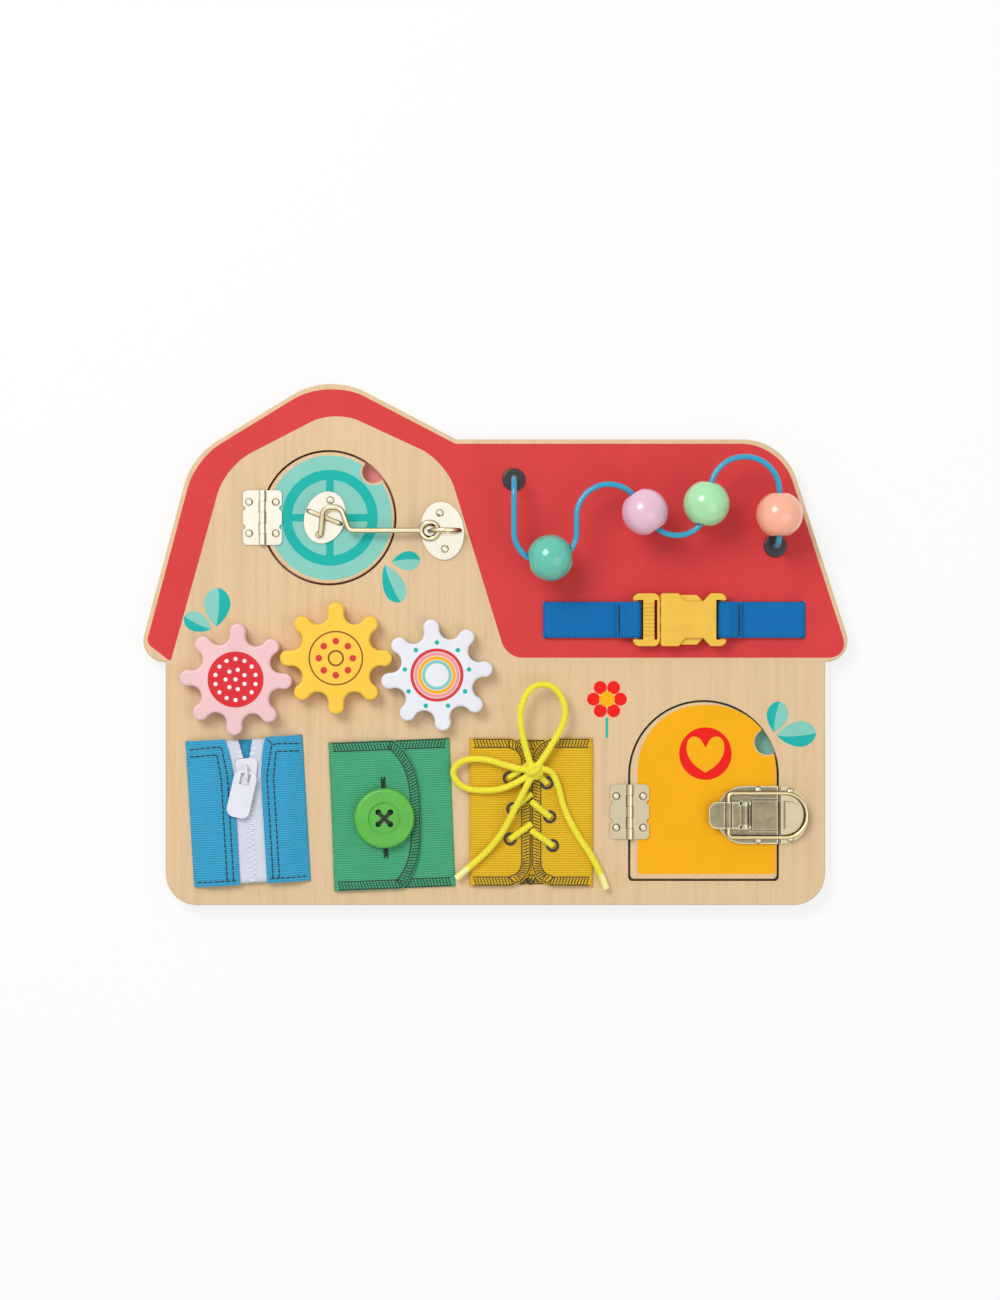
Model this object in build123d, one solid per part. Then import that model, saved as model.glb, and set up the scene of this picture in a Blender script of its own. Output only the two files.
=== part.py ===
from build123d import *
from math import atan2, cos, degrees, hypot, pi, radians, sin, tan
import os

# Barn-shaped wooden activity board, lying on its back. All lengths in mm, angles in degrees.
# +X runs to the right of the board, +Y to the roof, +Z out of the front. Z is 0 at the back.

# Board
BOARD_WIDTH = 400.0
BOARD_HEIGHT = 296.0
BACK_THICKNESS = 3.0
FRONT_THICKNESS = 9.0
FACE = BACK_THICKNESS + FRONT_THICKNESS
WALL_HALF_WIDTH = 187.3
BASE_RADIUS = 18.0
WALL_HEIGHT = 138.1
EAVE_RADIUS = 12.0
LEFT_LEAN = 14.9
RIGHT_LEAN = 17.9
PEAK_X = -94.9
PEAK_RADIUS = 43.0
PEAK_LEFT_SLOPE = 31.5
PEAK_RIGHT_SLOPE = 27.5
KNEE_RADIUS = 43.0
RIDGE_DROP = 31.5
SHOULDER_RADIUS = 32.0
EDGE_ROUND = 1.0
RIGHT_ANGLE = 90.0
HALF_TURN = 180.0
FULL_TURN = 360.0

# Fits between pieces
FIXED_FIT = 0.02
RUNNING_FIT = 0.08
SIDE_GAP = 0.3

# Screws, all of one size
SCREW_SHANK_RADIUS = 1.0
SCREW_LENGTH = 6.0
SCREW_HEAD_RADIUS = 2.3
SCREW_HEAD_HEIGHT = 1.5
SCREW_SLOT_WIDTH = 0.6
SCREW_SLOT_DEPTH = 0.5
BACK_SCREW_LENGTH = 7.0
BACK_SCREW_HEAD_HEIGHT = 1.6
BACK_SCREW_HEAD_RADIUS = 2.8
BACK_SCREW_INSET = 8.3
BACK_SCREW_RISE = 11.0
BACK_SCREW_EAVE_DROP = 9.0
BACK_SCREW_PEAK_DROP = 19.0
BACK_SCREW_RIDGE_DROP = 12.9
BACK_SCREW_ROOF_SHARE = 0.11
BACK_SCREW_SHOULDER_INSET = 46.0
BACK_SCREW_SHOULDER_DROP = 30.7

# Round window and its door hinge
WINDOW_OFFSET = 0.3
WINDOW_MARGIN_SHARE = 0.12669
WINDOW_HOLE_RADIUS = 38.5
DOOR_GAP = 1.2
WINDOW_NOTCH_ANGLE = 45.6
WINDOW_NOTCH_RADIUS = 6.4
WINDOW_NOTCH_REACH = 36.4
WOOD_ROUND = 0.8

# Arched door
DOOR_SPACING = 20.75
DOOR_MARGIN_SHARE = 0.04628
DOOR_STRAIGHT = 60.0
DOOR_HALF_WIDTH = 42.85
DOOR_CORNER_RADIUS = 2.4
DOOR_NOTCH_ANGLE = 27.5
DOOR_NOTCH_RADIUS = 7.2
DOOR_NOTCH_REACH = 41.0
DOOR_HINGE_RISE = 39.4

# Butt hinges
HINGE_LENGTH = 31.0
HINGE_LEAF_WIDTH = 11.0
HINGE_LEAF_THICKNESS = 0.9
HINGE_LIFT = 2.0
HINGE_KNUCKLE_RADIUS = 1.9
HINGE_PIN_RADIUS = 0.9
HINGE_KNUCKLES = 5
HINGE_CORNER_RADIUS = 2.6
HINGE_NOTCH_RADIUS = 1.5
HINGE_NOTCH_SHARE = 0.17
HINGE_SCREW_X = 7.6
HINGE_SCREW_Y = 8.9
HINGE_INSET = 0.9

# Cabin hook, its eye on the board and its staple on the window
HOOK_WIRE_RADIUS = 1.5
HOOK_PIVOT_SPACING = 18.9
HOOK_DROP = 7.5
HOOK_HEIGHT = 7.0
HOOK_RING_RADIUS = 4.9
HOOK_BEND_LENGTH = 16.3
HOOK_OVERREACH = 2.2
HOOK_BEND_HEIGHT = 12.9
HOOK_BEND_X_SHARES = (0.812, 0.968)
HOOK_TIP_DROP = 2.2
HOOK_BEND_RADIUS = 4.8
HOOK_ROOT_RADIUS = 3.5
HOOK_TILT = 25.0
STAPLE_WIRE_RADIUS = 1.3
EYE_SPAN = 17.0
EYE_PLATE_OFFSET = 7.1
EYE_PLATE_WIDTH = 24.4
EYE_PLATE_HEIGHT = 33.0
EYE_PLATE_TILT = 8.0
EYE_SCREW_REACH = 10.3
CATCH_OFFSET_X = -2.2
CATCH_OFFSET_Y = 0.1
CATCH_WIDTH = 23.0
CATCH_HEIGHT = 30.0
CATCH_TILT = -18.0
CATCH_SCREW_REACH = 10.3
CATCH_SPAN = 19.6
CATCH_BAR_HEIGHT = 7.0
CATCH_BAR_TILT = -21.7
CATCH_BAR_RADIUS = 2.6
PLATE_THICKNESS = 1.0

# Toggle latch across the door edge
LATCH_DROP = 1.8
LATCH_BASE_LENGTH = 35.0
LATCH_BASE_INSET = 0.7
LATCH_BASE_HEIGHT = 32.8
LATCH_BASE_THICKNESS = 1.2
LATCH_BLOCK_LENGTH = 15.7
LATCH_BLOCK_WIDTH = 17.9
LATCH_BLOCK_HEIGHT = 5.6
LATCH_BLOCK_ROUND = 1.0
LATCH_CHEEK_THICKNESS = 1.4
LATCH_CHEEK_RADIUS = 2.6
LATCH_PIVOT_INSET = 19.8
LATCH_PIVOT_HEIGHT = 4.4
LATCH_PIN_RADIUS = 1.0
LEVER_WIDTH = 15.2
LEVER_NECK_WIDTH = 11.6
LEVER_LENGTH = 20.3
LEVER_THICKNESS = 2.0
LEVER_END_RADIUS = 5.0
LEVER_BOSS_RADIUS = 2.3
BAIL_PIVOT_SPACING = 9.3
BAIL_WIRE_RADIUS = 1.1
BAIL_HALF_SPAN = 12.5
BAIL_LENGTH = 44.4
BAIL_CORNER_RADIUS = 2.4
BAIL_END_RADIUS = 12.3
BAIL_TURN_IN = 4.6
RIVET_INSET = 12.0
RIVET_OFFSET = 14.1
STRIKE_SPACING = 0.9
STRIKE_LENGTH = 15.8
STRIKE_HEIGHT = 32.8
STRIKE_SCREW_INSET = 5.3
STRIKE_SCREW_OFFSET = 13.2
LUG_INSET = 1.7
LUG_LENGTH = 10.4
LUG_WIDTH = 16.0
LUG_HEIGHT = 6.4
LUG_DRAFT = 4.0

# Petal gears
GEAR_TEETH = 8
GEAR_RADIUS = 31.7
GEAR_ROOT_RADIUS = 21.2
GEAR_TIP_ROUND = 4.6
GEAR_MESH_GAP = 4.9
GEAR_SIDE_MARGIN = 9.06
GEAR_PANEL_GAP = 2.48
PINK_BEARING = 192.0
WHITE_BEARING = -9.5
SUN_PHASE = 0.0
PINK_PHASE = -2.0
WHITE_PHASE = 7.0
GEAR_THICKNESS = 9.0
GEAR_EDGE_ROUND = 1.6
WASHER_THICKNESS = 1.5
WASHER_RADIUS = 10.0
SPINDLE_RADIUS = 4.0
SPINDLE_DEPTH = 6.0
SPINDLE_FLANGE_RADIUS = 8.0
SPINDLE_FLANGE_THICKNESS = 2.0
SPINDLE_BORE_GAP = 0.6

# Bead wire: a winding wire in a plane above the face, with four beads
WIRE_RADIUS = 1.6
WIRE_HEIGHT = 24.0
WIRE_SIDE_MARGIN = 41.2
WIRE_TOP_MARGIN = 11.6
WIRE_SPAN = 148.3
WIRE_RISE = 59.2
WIRE_X_SHARES = (0.0, 0.0, 0.2356, 0.2356, 0.424, 0.552, 0.7115, 0.759, 1.0, 1.0)
WIRE_Y_SHARES = (0.809, 0.0, 0.0, 0.741, 0.741, 0.2585, 0.2585, 1.0, 1.0, 0.172)
WIRE_RADIUS_SHARES = (0.067, 0.1165, 0.1165, 0.121, 0.121, 0.1125, 0.1125, 0.1275, 0.1275, 0.067)
GROMMET_RADIUS = 6.5
GROMMET_HEIGHT = 1.4
GROMMET_SLEEVE_RADIUS = 3.4
GROMMET_DEPTH = 6.0
GROMMET_ROUND = 0.9
BEAD_RADIUS = 13.0
BEAD_BORE_RADIUS = 4.9
BEAD_MOUTH = 1.0
VALLEY_BEAD_INSET = 2.5
VALLEY_BEAD_TURN = 10.8
PINK_BEAD_SHARE = 0.54
GREEN_BEAD_SHARE = 0.40
GREEN_BEAD_OFFSET = 0.8
PEACH_BEAD_SHARE = 0.4544

# Cloth panels, each with side edges that go down slots and lie glued in pockets behind
CLOTH = 1.0
SLOT_WIDTH = 2.4
SLOT_END_GAP = 1.0
POCKET_DEPTH = 1.8
POCKET_WIDTH = 12.0
TAIL_LENGTH = 9.0
CLOTH_BEND = 1.2
BACKING = 0.8
ZIP_SIDE_MARGIN = 14.75
ZIP_MARGIN_SHARE = 0.04426
ZIP_WIDTH = 64.5
ZIP_HEIGHT = 81.0
ZIP_TILT = 3.4
ZIP_OFFSET = 1.0
ZIP_OPENING_HALF = 8.2
ZIP_BACKING_INSET = 8.0
ZIP_CLOTH_RISE = 4.0
ZIP_CLOTH_RAMP = 9.0
EDGE_RISE = 1.4
TAPE_BOTTOM = 2.7
TAPE_THICKNESS = 0.6
TAPE_WIDTH = 13.0
TAPE_SPREAD = 5.4
TAPE_SPREAD_START = 20.2
TOOTH_PITCH = 2.8
TOOTH_LENGTH = 1.2
TOOTH_OUTER = 2.1
TOOTH_INNER = 0.9
TOOTH_HEIGHT = 1.6
TOOTH_BOTTOM = 2.2
SLIDER_Y = 22.2
SLIDER_WIDTH = 13.0
SLIDER_LENGTH = 15.4
SLIDER_TAIL_WIDTH = 9.0
SLIDER_TOP = 4.1
SLIDER_TOP_THICKNESS = 1.2
SLIDER_FOOT = 1.1
SLIDER_FOOT_THICKNESS = 0.8
SLIDER_POST_WIDTH = 1.2
SLIDER_POST_LENGTH = 2.4
SLIDER_POST_Y = 6.0
SLIDER_ROUND = 2.6
BRIDGE_HALF_LENGTH = 3.6
BRIDGE_WIRE_RADIUS = 0.9
BRIDGE_HEIGHT = 4.6
BRIDGE_BEND = 1.5
PULL_LENGTH = 27.0
PULL_WIDTH = 13.0
PULL_THICKNESS = 1.6
PULL_SWING = -16.0
PULL_BAR = 1.7
PULL_WINDOW_WIDTH = 5.6
PULL_WINDOW_LENGTH = 6.4
PULL_ROUND = 4.5
PULL_AXIS_RISE = 1.55

BUTTON_PANEL_SPACING = 15.85
BUTTON_MARGIN_SHARE = 0.03497
BUTTON_PANEL_WIDTH = 67.0
BUTTON_PANEL_HEIGHT = 82.5
BUTTON_PANEL_TILT = 2.3
BUTTON_BASE_REACH = 52.0
BUTTON_BASE_RISE = 0.65
FLAP_RISE = 2.3
FLAP_EDGE_X_SHARES = (0.075, 0.225, 0.325, 0.29, 0.135)
FLAP_EDGE_Y_SHARES = (0.5, 0.345, 0.02, -0.265, -0.5)
BUTTON_OFFSET_X = -4.1
BUTTON_OFFSET_Y = -1.8
BUTTON_RADIUS = 17.0
BUTTON_THICKNESS = 5.0
BUTTON_LIFT = 3.7
BUTTON_ROUND = 2.0
BUTTON_RECESS_RADIUS = 9.2
BUTTON_RECESS_DEPTH = 1.3
BUTTON_HOLE_RADIUS = 1.7
BUTTON_HOLE_OFFSET = 3.4
SLIT_LENGTH = 44.0
SLIT_WIDTH = 1.2
SLIT_EYE_RADIUS = 2.6
THREAD_RADIUS = 0.8
THREAD_SHANK_RADIUS = 1.8

LACE_PANEL_SPACING = 11.25
LACE_MARGIN_SHARE = 0.04054
LACE_PANEL_WIDTH = 68.5
LACE_PANEL_HEIGHT = 82.0
LACE_SEAM_HALF = 2.3
LACE_BACKING_HALF = 24.0
LACE_RISE = 2.0
LACE_CORNER_WIDTH = 11.0
LACE_CORNER_HEIGHT = 13.0
EYELET_RADIUS = 3.7
EYELET_HOLE_RADIUS = 2.2
EYELET_PROUD = 0.6
EYELET_LEFT_SHARES = ((-0.1825, 0.2366), (-0.1533, 0.0232), (-0.1737, -0.1854))
EYELET_RIGHT_SHARES = ((0.1299, 0.2012), (0.1533, -0.0317), (0.1766, -0.2305))
CROSSING_RISE = 8.6
CROSSING_START = 2.6
CROSSING_TOP = 5.0
CROSSING_END = 3.6
CROSSING_TURN_SHARE = 0.62
LACE_RADIUS = 1.85
LACE_ARC_SHARE = 0.45
KNOT_OFFSET_X = 1.6
KNOT_OFFSET_Y = 23.4
KNOT_RISE = 6.6
KNOT_RADIUS = 5.4
KNOT_SHAPE_SHARES = (1.0, 0.92, 0.72)
# Lace routes from the middle of the panel, as X, Y and height over the face
LOOP_TOP = ((0.1, 26.0, 7.2), (-4.7, 40.0, 9.0), (-7.1, 59.0, 11.5), (0.2, 72.7, 11.0),
            (13.2, 72.4, 9.5), (20.9, 58.0, 10.0), (14.3, 41.6, 8.6), (3.1, 25.8, 7.2))
LOOP_LEFT = ((-0.3, 23.6, 7.4), (-11.7, 25.6, 7.6), (-25.3, 30.6, 6.6), (-39.9, 30.0, 5.6),
             (-45.7, 22.4, 5.0), (-39.1, 13.4, 4.8), (-24.7, 12.0, 5.0), (-11.7, 14.4, 6.8),
             (0.1, 22.0, 7.2))
TAIL_LEFT = ((0.3, 20.6, 7.2), (-5.5, 9.8, 8.6), (-10.7, -0.8, 8.6), (-17.9, -14.0, 5.2),
             (-27.5, -24.8, 4.7), (-42.5, -37.3, 4.2))
TAIL_RIGHT = ((2.7, 24.6, 7.2), (10.3, 25.4, 6.8), (15.3, 16.0, 5.0), (18.1, 2.6, 4.8),
              (26.1, -13.0, 4.8), (36.7, -28.0, 4.4), (42.7, -43.4, 3.6))

# Webbing straps and their side-release buckle
STRAP_WIDTH = 20.4
STRAP_THICKNESS = 1.4
STRAP_DROP = 31.7
STRAP_SIDE_MARGIN = 25.6
STRAP_SPAN = 145.9
STRAP_WRAP_GAP = 0.3
STRAP_STITCH_INSET = 9.5
STRAP_FOLD_END = 4.0
STRAP_LAP_GAP = 0.2
BUCKLE_LENGTH = 52.8
BUCKLE_PLACE_SHARE = 0.5285
BUCKLE_HALF_WIDTH = 15.0
BUCKLE_BOTTOM = 1.2
BUCKLE_TOP = 9.6
MALE_FRAME_LENGTH = 15.7
BUCKLE_BAR_RADIUS = 1.6
BUCKLE_BAR_HEIGHT = 4.3
BUCKLE_BAR_INSET = 1.9
BUCKLE_SLOT_WIDTH = 2.4
BUCKLE_ROUND = 1.4
BUCKLE_CORNER_RADIUS = 4.0
FEMALE_X_SHARES = (0.0, 0.27, 0.37, 0.65, 0.76, 1.0)
FEMALE_Y_SHARES = (1.0, 1.0, 0.7, 0.7, 1.0, 1.0)
CAVITY_DEPTH = 25.6
CAVITY_HALF_WIDTH = 10.7
CAVITY_HALF_HEIGHT = 2.6
WINDOW_START_SHARE = 0.275
WINDOW_END_SHARE = 0.675
MALE_RAIL = 3.8
MALE_SHOULDER = 1.6
MALE_LADDER = 6.2
LADDER_GROOVES = 9
LADDER_GROOVE_WIDTH = 0.8
LADDER_GROOVE_DEPTH = 0.6
LADDER_GROOVE_SPACING = 2.2
ARM_INNER = 7.0
ARM_OUTER = 10.2
ARM_HALF_HEIGHT = 2.2
ARM_REACH = 24.4
ARM_BARB = 14.0
ARM_BARB_START = 11.2
ARM_BARB_FULL = 20.6
TONGUE_WIDTH = 4.6
TONGUE_REACH = 14.0
MALE_BOTTOM = 2.4
MALE_TOP = 8.4

# Places, worked out from the edge or piece that each is set from
BASE_Y = -BOARD_HEIGHT / 2
EAVE_Y = BASE_Y + WALL_HEIGHT
RIDGE_Y = BOARD_HEIGHT / 2 - RIDGE_DROP
WINDOW_X = PEAK_X + WINDOW_OFFSET
WINDOW_Y = BOARD_HEIGHT / 2 - WINDOW_MARGIN_SHARE * BOARD_HEIGHT - WINDOW_HOLE_RADIUS
HOOK_PIVOT_X = WINDOW_X + WINDOW_HOLE_RADIUS + HOOK_PIVOT_SPACING
HOOK_Y = WINDOW_Y - HOOK_DROP
EYE_PLATE_X = HOOK_PIVOT_X + EYE_PLATE_OFFSET
CATCH_X = WINDOW_X + CATCH_OFFSET_X
CATCH_Y = WINDOW_Y + CATCH_OFFSET_Y
HOOK_REACH = HOOK_PIVOT_X - CATCH_X + HOOK_OVERREACH
HOOK_ROD_LENGTH = HOOK_REACH - HOOK_BEND_LENGTH
ZIP_X = ZIP_SIDE_MARGIN + ZIP_WIDTH / 2 - WALL_HALF_WIDTH
ZIP_Y = BASE_Y + ZIP_MARGIN_SHARE * BOARD_HEIGHT + ZIP_HEIGHT / 2
BUTTON_PANEL_X = ZIP_X + ZIP_WIDTH / 2 + BUTTON_PANEL_SPACING + BUTTON_PANEL_WIDTH / 2
BUTTON_PANEL_Y = BASE_Y + BUTTON_MARGIN_SHARE * BOARD_HEIGHT + BUTTON_PANEL_HEIGHT / 2
BUTTON_X = BUTTON_PANEL_X + BUTTON_OFFSET_X
BUTTON_Y = BUTTON_PANEL_Y + BUTTON_OFFSET_Y
LACE_PANEL_X = BUTTON_PANEL_X + BUTTON_PANEL_WIDTH / 2 + LACE_PANEL_SPACING + LACE_PANEL_WIDTH / 2
LACE_PANEL_Y = BASE_Y + LACE_MARGIN_SHARE * BOARD_HEIGHT + LACE_PANEL_HEIGHT / 2
DOOR_X = LACE_PANEL_X + LACE_PANEL_WIDTH / 2 + DOOR_SPACING + DOOR_HALF_WIDTH
DOOR_EDGE = DOOR_X + DOOR_HALF_WIDTH
DOOR_BOTTOM = BASE_Y + DOOR_MARGIN_SHARE * BOARD_HEIGHT
DOOR_ARCH_Y = DOOR_BOTTOM + DOOR_STRAIGHT
DOOR_HINGE_Y = DOOR_BOTTOM + DOOR_HINGE_RISE
LATCH_Y = DOOR_HINGE_Y - LATCH_DROP
LATCH_BASE_RIGHT = DOOR_EDGE - LATCH_BASE_INSET
LATCH_BASE_LEFT = LATCH_BASE_RIGHT - LATCH_BASE_LENGTH
LATCH_BLOCK_LEFT = LATCH_BASE_RIGHT - LATCH_BLOCK_LENGTH
LATCH_PIVOT_X = DOOR_EDGE - LATCH_PIVOT_INSET
LEVER_LEFT = LATCH_PIVOT_X - LEVER_LENGTH
BAIL_PIVOT_X = LATCH_PIVOT_X - BAIL_PIVOT_SPACING
BAIL_REACH = BAIL_PIVOT_X + BAIL_LENGTH
RIVET_X = DOOR_EDGE - RIVET_INSET
STRIKE_LEFT = DOOR_EDGE + STRIKE_SPACING
STRIKE_RIGHT = STRIKE_LEFT + STRIKE_LENGTH
STRIKE_SCREW_X = STRIKE_LEFT + STRIKE_SCREW_INSET
LUG_LEFT = STRIKE_LEFT + LUG_INSET
LUG_RIGHT = LUG_LEFT + LUG_LENGTH
GEAR_CENTRES = GEAR_RADIUS + GEAR_ROOT_RADIUS + GEAR_MESH_GAP
PANEL_TOP = max(ZIP_Y + ZIP_HEIGHT / 2, BUTTON_PANEL_Y + BUTTON_PANEL_HEIGHT / 2)
SUN_X = GEAR_SIDE_MARGIN + GEAR_RADIUS - GEAR_CENTRES * cos(radians(PINK_BEARING)) - WALL_HALF_WIDTH
SUN_Y = PANEL_TOP + GEAR_PANEL_GAP + GEAR_RADIUS - GEAR_CENTRES * sin(radians(PINK_BEARING))
WIRE_LEFT = BOARD_WIDTH / 2 - WIRE_SIDE_MARGIN - WIRE_SPAN
WIRE_BOTTOM = RIDGE_Y - WIRE_TOP_MARGIN - WIRE_RISE
PEACH_BEAD_Y = WIRE_BOTTOM + PEACH_BEAD_SHARE * WIRE_RISE
KNOT_X = LACE_PANEL_X + KNOT_OFFSET_X
KNOT_Y = LACE_PANEL_Y + KNOT_OFFSET_Y
STRAP_Y = WIRE_BOTTOM - STRAP_DROP
STRAP_RIGHT_X = BOARD_WIDTH / 2 - STRAP_SIDE_MARGIN
STRAP_LEFT_X = STRAP_RIGHT_X - STRAP_SPAN
BUCKLE_LEFT = STRAP_LEFT_X + BUCKLE_PLACE_SHARE * (STRAP_SPAN - BUCKLE_LENGTH)
BUCKLE_RIGHT = BUCKLE_LEFT + BUCKLE_LENGTH
BUCKLE_SPLIT = BUCKLE_LEFT + MALE_FRAME_LENGTH

UP = (Align.CENTER, Align.CENTER, Align.MIN)
FROM_LEFT = (Align.MIN, Align.CENTER, Align.MIN)


def post(x, y, z, radius, height):
    return Pos(x, y, z) * Cylinder(radius, height, align=UP)


def slab(x, y, z, length, width, height):
    return Pos(x, y, z) * Box(length, width, height, align=UP)


def rounded_slab(x, y, z, length, width, height, radius):
    return Pos(x, y, z) * extrude(RectangleRounded(length, width, radius), amount=height)


def plate(sketch, z, height):
    return Pos(0, 0, z) * extrude(sketch, amount=height)


def tube(points, radii, radius):
    path = FilletPolyline(*points, radius=radii)
    return sweep(Plane(origin=path @ 0, z_dir=path % 0) * Circle(radius), path=path)


def group(solids):
    return Compound([item for solid in solids for item in solid.solids()])


def turned(x, y, angle):
    return Pos(x, y, 0) * Rot(0, 0, angle)


def polar(x, y, reach, angle):
    return x + reach * cos(radians(angle)), y + reach * sin(radians(angle))


# Board and what is cut through it

def board_outline():
    left = -BOARD_WIDTH / 2 - EAVE_RADIUS * (tan(radians(RIGHT_ANGLE + LEFT_LEAN) / 2) - 1)
    right = BOARD_WIDTH / 2 + EAVE_RADIUS * (tan(radians(RIGHT_ANGLE + RIGHT_LEAN) / 2) - 1)
    half = radians(PEAK_LEFT_SLOPE + PEAK_RIGHT_SLOPE) / 2
    tilt = radians(PEAK_LEFT_SLOPE - PEAK_RIGHT_SLOPE) / 2
    peak = BOARD_HEIGHT / 2 + PEAK_RADIUS * (cos(tilt) / cos(half) - 1)
    rise = tan(radians(PEAK_LEFT_SLOPE))
    lean = tan(radians(LEFT_LEAN))
    knee = (peak - rise * (PEAK_X - left + EAVE_Y * lean)) / (1 - rise * lean)
    valley = PEAK_X + (peak - RIDGE_Y) / tan(radians(PEAK_RIGHT_SLOPE))
    shoulder = right - (RIDGE_Y - EAVE_Y) * tan(radians(RIGHT_LEAN))
    corners = (
        (-WALL_HALF_WIDTH, BASE_Y, BASE_RADIUS),
        (WALL_HALF_WIDTH, BASE_Y, BASE_RADIUS),
        (WALL_HALF_WIDTH, EAVE_Y, 0),
        (right, EAVE_Y, EAVE_RADIUS),
        (shoulder, RIDGE_Y, SHOULDER_RADIUS),
        (valley, RIDGE_Y, 0),
        (PEAK_X, peak, PEAK_RADIUS),
        (left + (knee - EAVE_Y) * lean, knee, KNEE_RADIUS),
        (left, EAVE_Y, EAVE_RADIUS),
        (-WALL_HALF_WIDTH, EAVE_Y, 0),
    )
    points = [(x, y) for x, y, radius in corners]
    radii = [radius for x, y, radius in corners]
    return make_face(FilletPolyline(*points, radius=radii, close=True))


def door_outline(shrink):
    half = DOOR_HALF_WIDTH - shrink
    low = DOOR_BOTTOM + shrink
    tall = DOOR_ARCH_Y - low
    lower = Pos(DOOR_X, low + tall / 2) * Rectangle(2 * half, tall)
    outline = lower + Pos(DOOR_X, DOOR_ARCH_Y) * Circle(half)
    corners = outline.vertices().group_by(Axis.Y)[0]
    return fillet(corners, DOOR_CORNER_RADIUS)


def gear_places():
    pink = polar(SUN_X, SUN_Y, GEAR_CENTRES, PINK_BEARING)
    white = polar(SUN_X, SUN_Y, GEAR_CENTRES, WHITE_BEARING)
    return {"pink": pink, "sun": (SUN_X, SUN_Y), "white": white}


def panels():
    return (
        (turned(ZIP_X, ZIP_Y, ZIP_TILT), ZIP_WIDTH, ZIP_HEIGHT),
        (turned(BUTTON_PANEL_X, BUTTON_PANEL_Y, BUTTON_PANEL_TILT), BUTTON_PANEL_WIDTH, BUTTON_PANEL_HEIGHT),
        (turned(LACE_PANEL_X, LACE_PANEL_Y, 0), LACE_PANEL_WIDTH, LACE_PANEL_HEIGHT),
    )


def slot_cut(width):
    depth = width + 2 * SLOT_END_GAP
    slot = slab(0, 0, BACK_THICKNESS, SLOT_WIDTH, depth, FRONT_THICKNESS)
    pocket = Box(POCKET_WIDTH, depth, POCKET_DEPTH, align=FROM_LEFT)
    return slot + Pos(-SLOT_WIDTH / 2, 0, BACK_THICKNESS) * pocket


def slot_cuts():
    cuts = []
    for place, width, height in panels():
        for side in (0, HALF_TURN):
            cuts.append(place * Rot(0, 0, side) * Pos((CLOTH - width) / 2, 0, 0) * slot_cut(height))
    for x, side in ((STRAP_LEFT_X, 0), (STRAP_RIGHT_X, HALF_TURN)):
        place = turned(x, STRAP_Y, side)
        cuts.append(place * Pos(STRAP_THICKNESS / 2, 0, 0) * slot_cut(STRAP_WIDTH))
    return cuts


def wire_points():
    points = []
    for across, along in zip(WIRE_X_SHARES, WIRE_Y_SHARES):
        points.append((WIRE_LEFT + across * WIRE_SPAN, WIRE_BOTTOM + along * WIRE_RISE))
    return points


def grommet_places():
    points = wire_points()
    return points[0], points[-1]


def front_board():
    board = plate(board_outline(), BACK_THICKNESS, FRONT_THICKNESS)
    rim = board.faces().sort_by(Axis.Z)[-1].outer_wire().edges()
    board = fillet(rim, EDGE_ROUND)
    board -= post(WINDOW_X, WINDOW_Y, BACK_THICKNESS, WINDOW_HOLE_RADIUS, FRONT_THICKNESS)
    board -= plate(door_outline(0), BACK_THICKNESS, FRONT_THICKNESS)
    for x, y in gear_places().values():
        board -= post(x, y, BACK_THICKNESS, SPINDLE_RADIUS + RUNNING_FIT, FRONT_THICKNESS)
        bore = SPINDLE_FLANGE_THICKNESS + SPINDLE_BORE_GAP
        board -= post(x, y, BACK_THICKNESS, SPINDLE_FLANGE_RADIUS + SPINDLE_BORE_GAP, bore)
    for x, y in grommet_places():
        board -= post(x, y, FACE - GROMMET_DEPTH, GROMMET_SLEEVE_RADIUS + FIXED_FIT, GROMMET_DEPTH)
    for cut in slot_cuts():
        board -= cut
    for x, y, z in board_screw_places():
        board -= screw_hole(x, y, z)
    grip = BACK_SCREW_LENGTH - BACK_THICKNESS
    for x, y in back_screw_places():
        board -= post(x, y, BACK_THICKNESS, SCREW_SHANK_RADIUS + FIXED_FIT, grip)
    return board


def back_board():
    board = plate(board_outline(), 0, BACK_THICKNESS)
    for x, y in back_screw_places():
        board -= back_screw(x, y, FIXED_FIT)
    return board


# Screws

def screw(x, y, z):
    shank = post(x, y, z - SCREW_LENGTH, SCREW_SHANK_RADIUS, SCREW_LENGTH)
    bow = (SCREW_HEAD_RADIUS ** 2 + SCREW_HEAD_HEIGHT ** 2) / (2 * SCREW_HEAD_HEIGHT)
    dome = Pos(x, y, z + SCREW_HEAD_HEIGHT - bow) * Sphere(bow)
    head = dome & post(x, y, z, SCREW_HEAD_RADIUS, SCREW_HEAD_HEIGHT)
    floor = z + SCREW_HEAD_HEIGHT - SCREW_SLOT_DEPTH
    slot = slab(x, y, floor, 2 * SCREW_HEAD_RADIUS, SCREW_SLOT_WIDTH, SCREW_HEAD_HEIGHT)
    return shank + head - slot


def screw_hole(x, y, z):
    depth = SCREW_LENGTH - (z - FACE)
    return post(x, y, FACE - depth, SCREW_SHANK_RADIUS + FIXED_FIT, depth)


def through_hole(x, y):
    return post(x, y, FACE, SCREW_SHANK_RADIUS + FIXED_FIT, PLATE_THICKNESS + LATCH_BASE_THICKNESS)


def hinge_screws(x, y, side):
    z = FACE + HINGE_LEAF_THICKNESS
    return [(x + side * HINGE_SCREW_X, y + step * HINGE_SCREW_Y, z) for step in (-1, 1)]


def eye_screws():
    z = FACE + PLATE_THICKNESS
    reach = (EYE_SCREW_REACH, -EYE_SCREW_REACH)
    return [(*polar(EYE_PLATE_X, HOOK_Y, step, RIGHT_ANGLE + EYE_PLATE_TILT), z) for step in reach]


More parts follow.
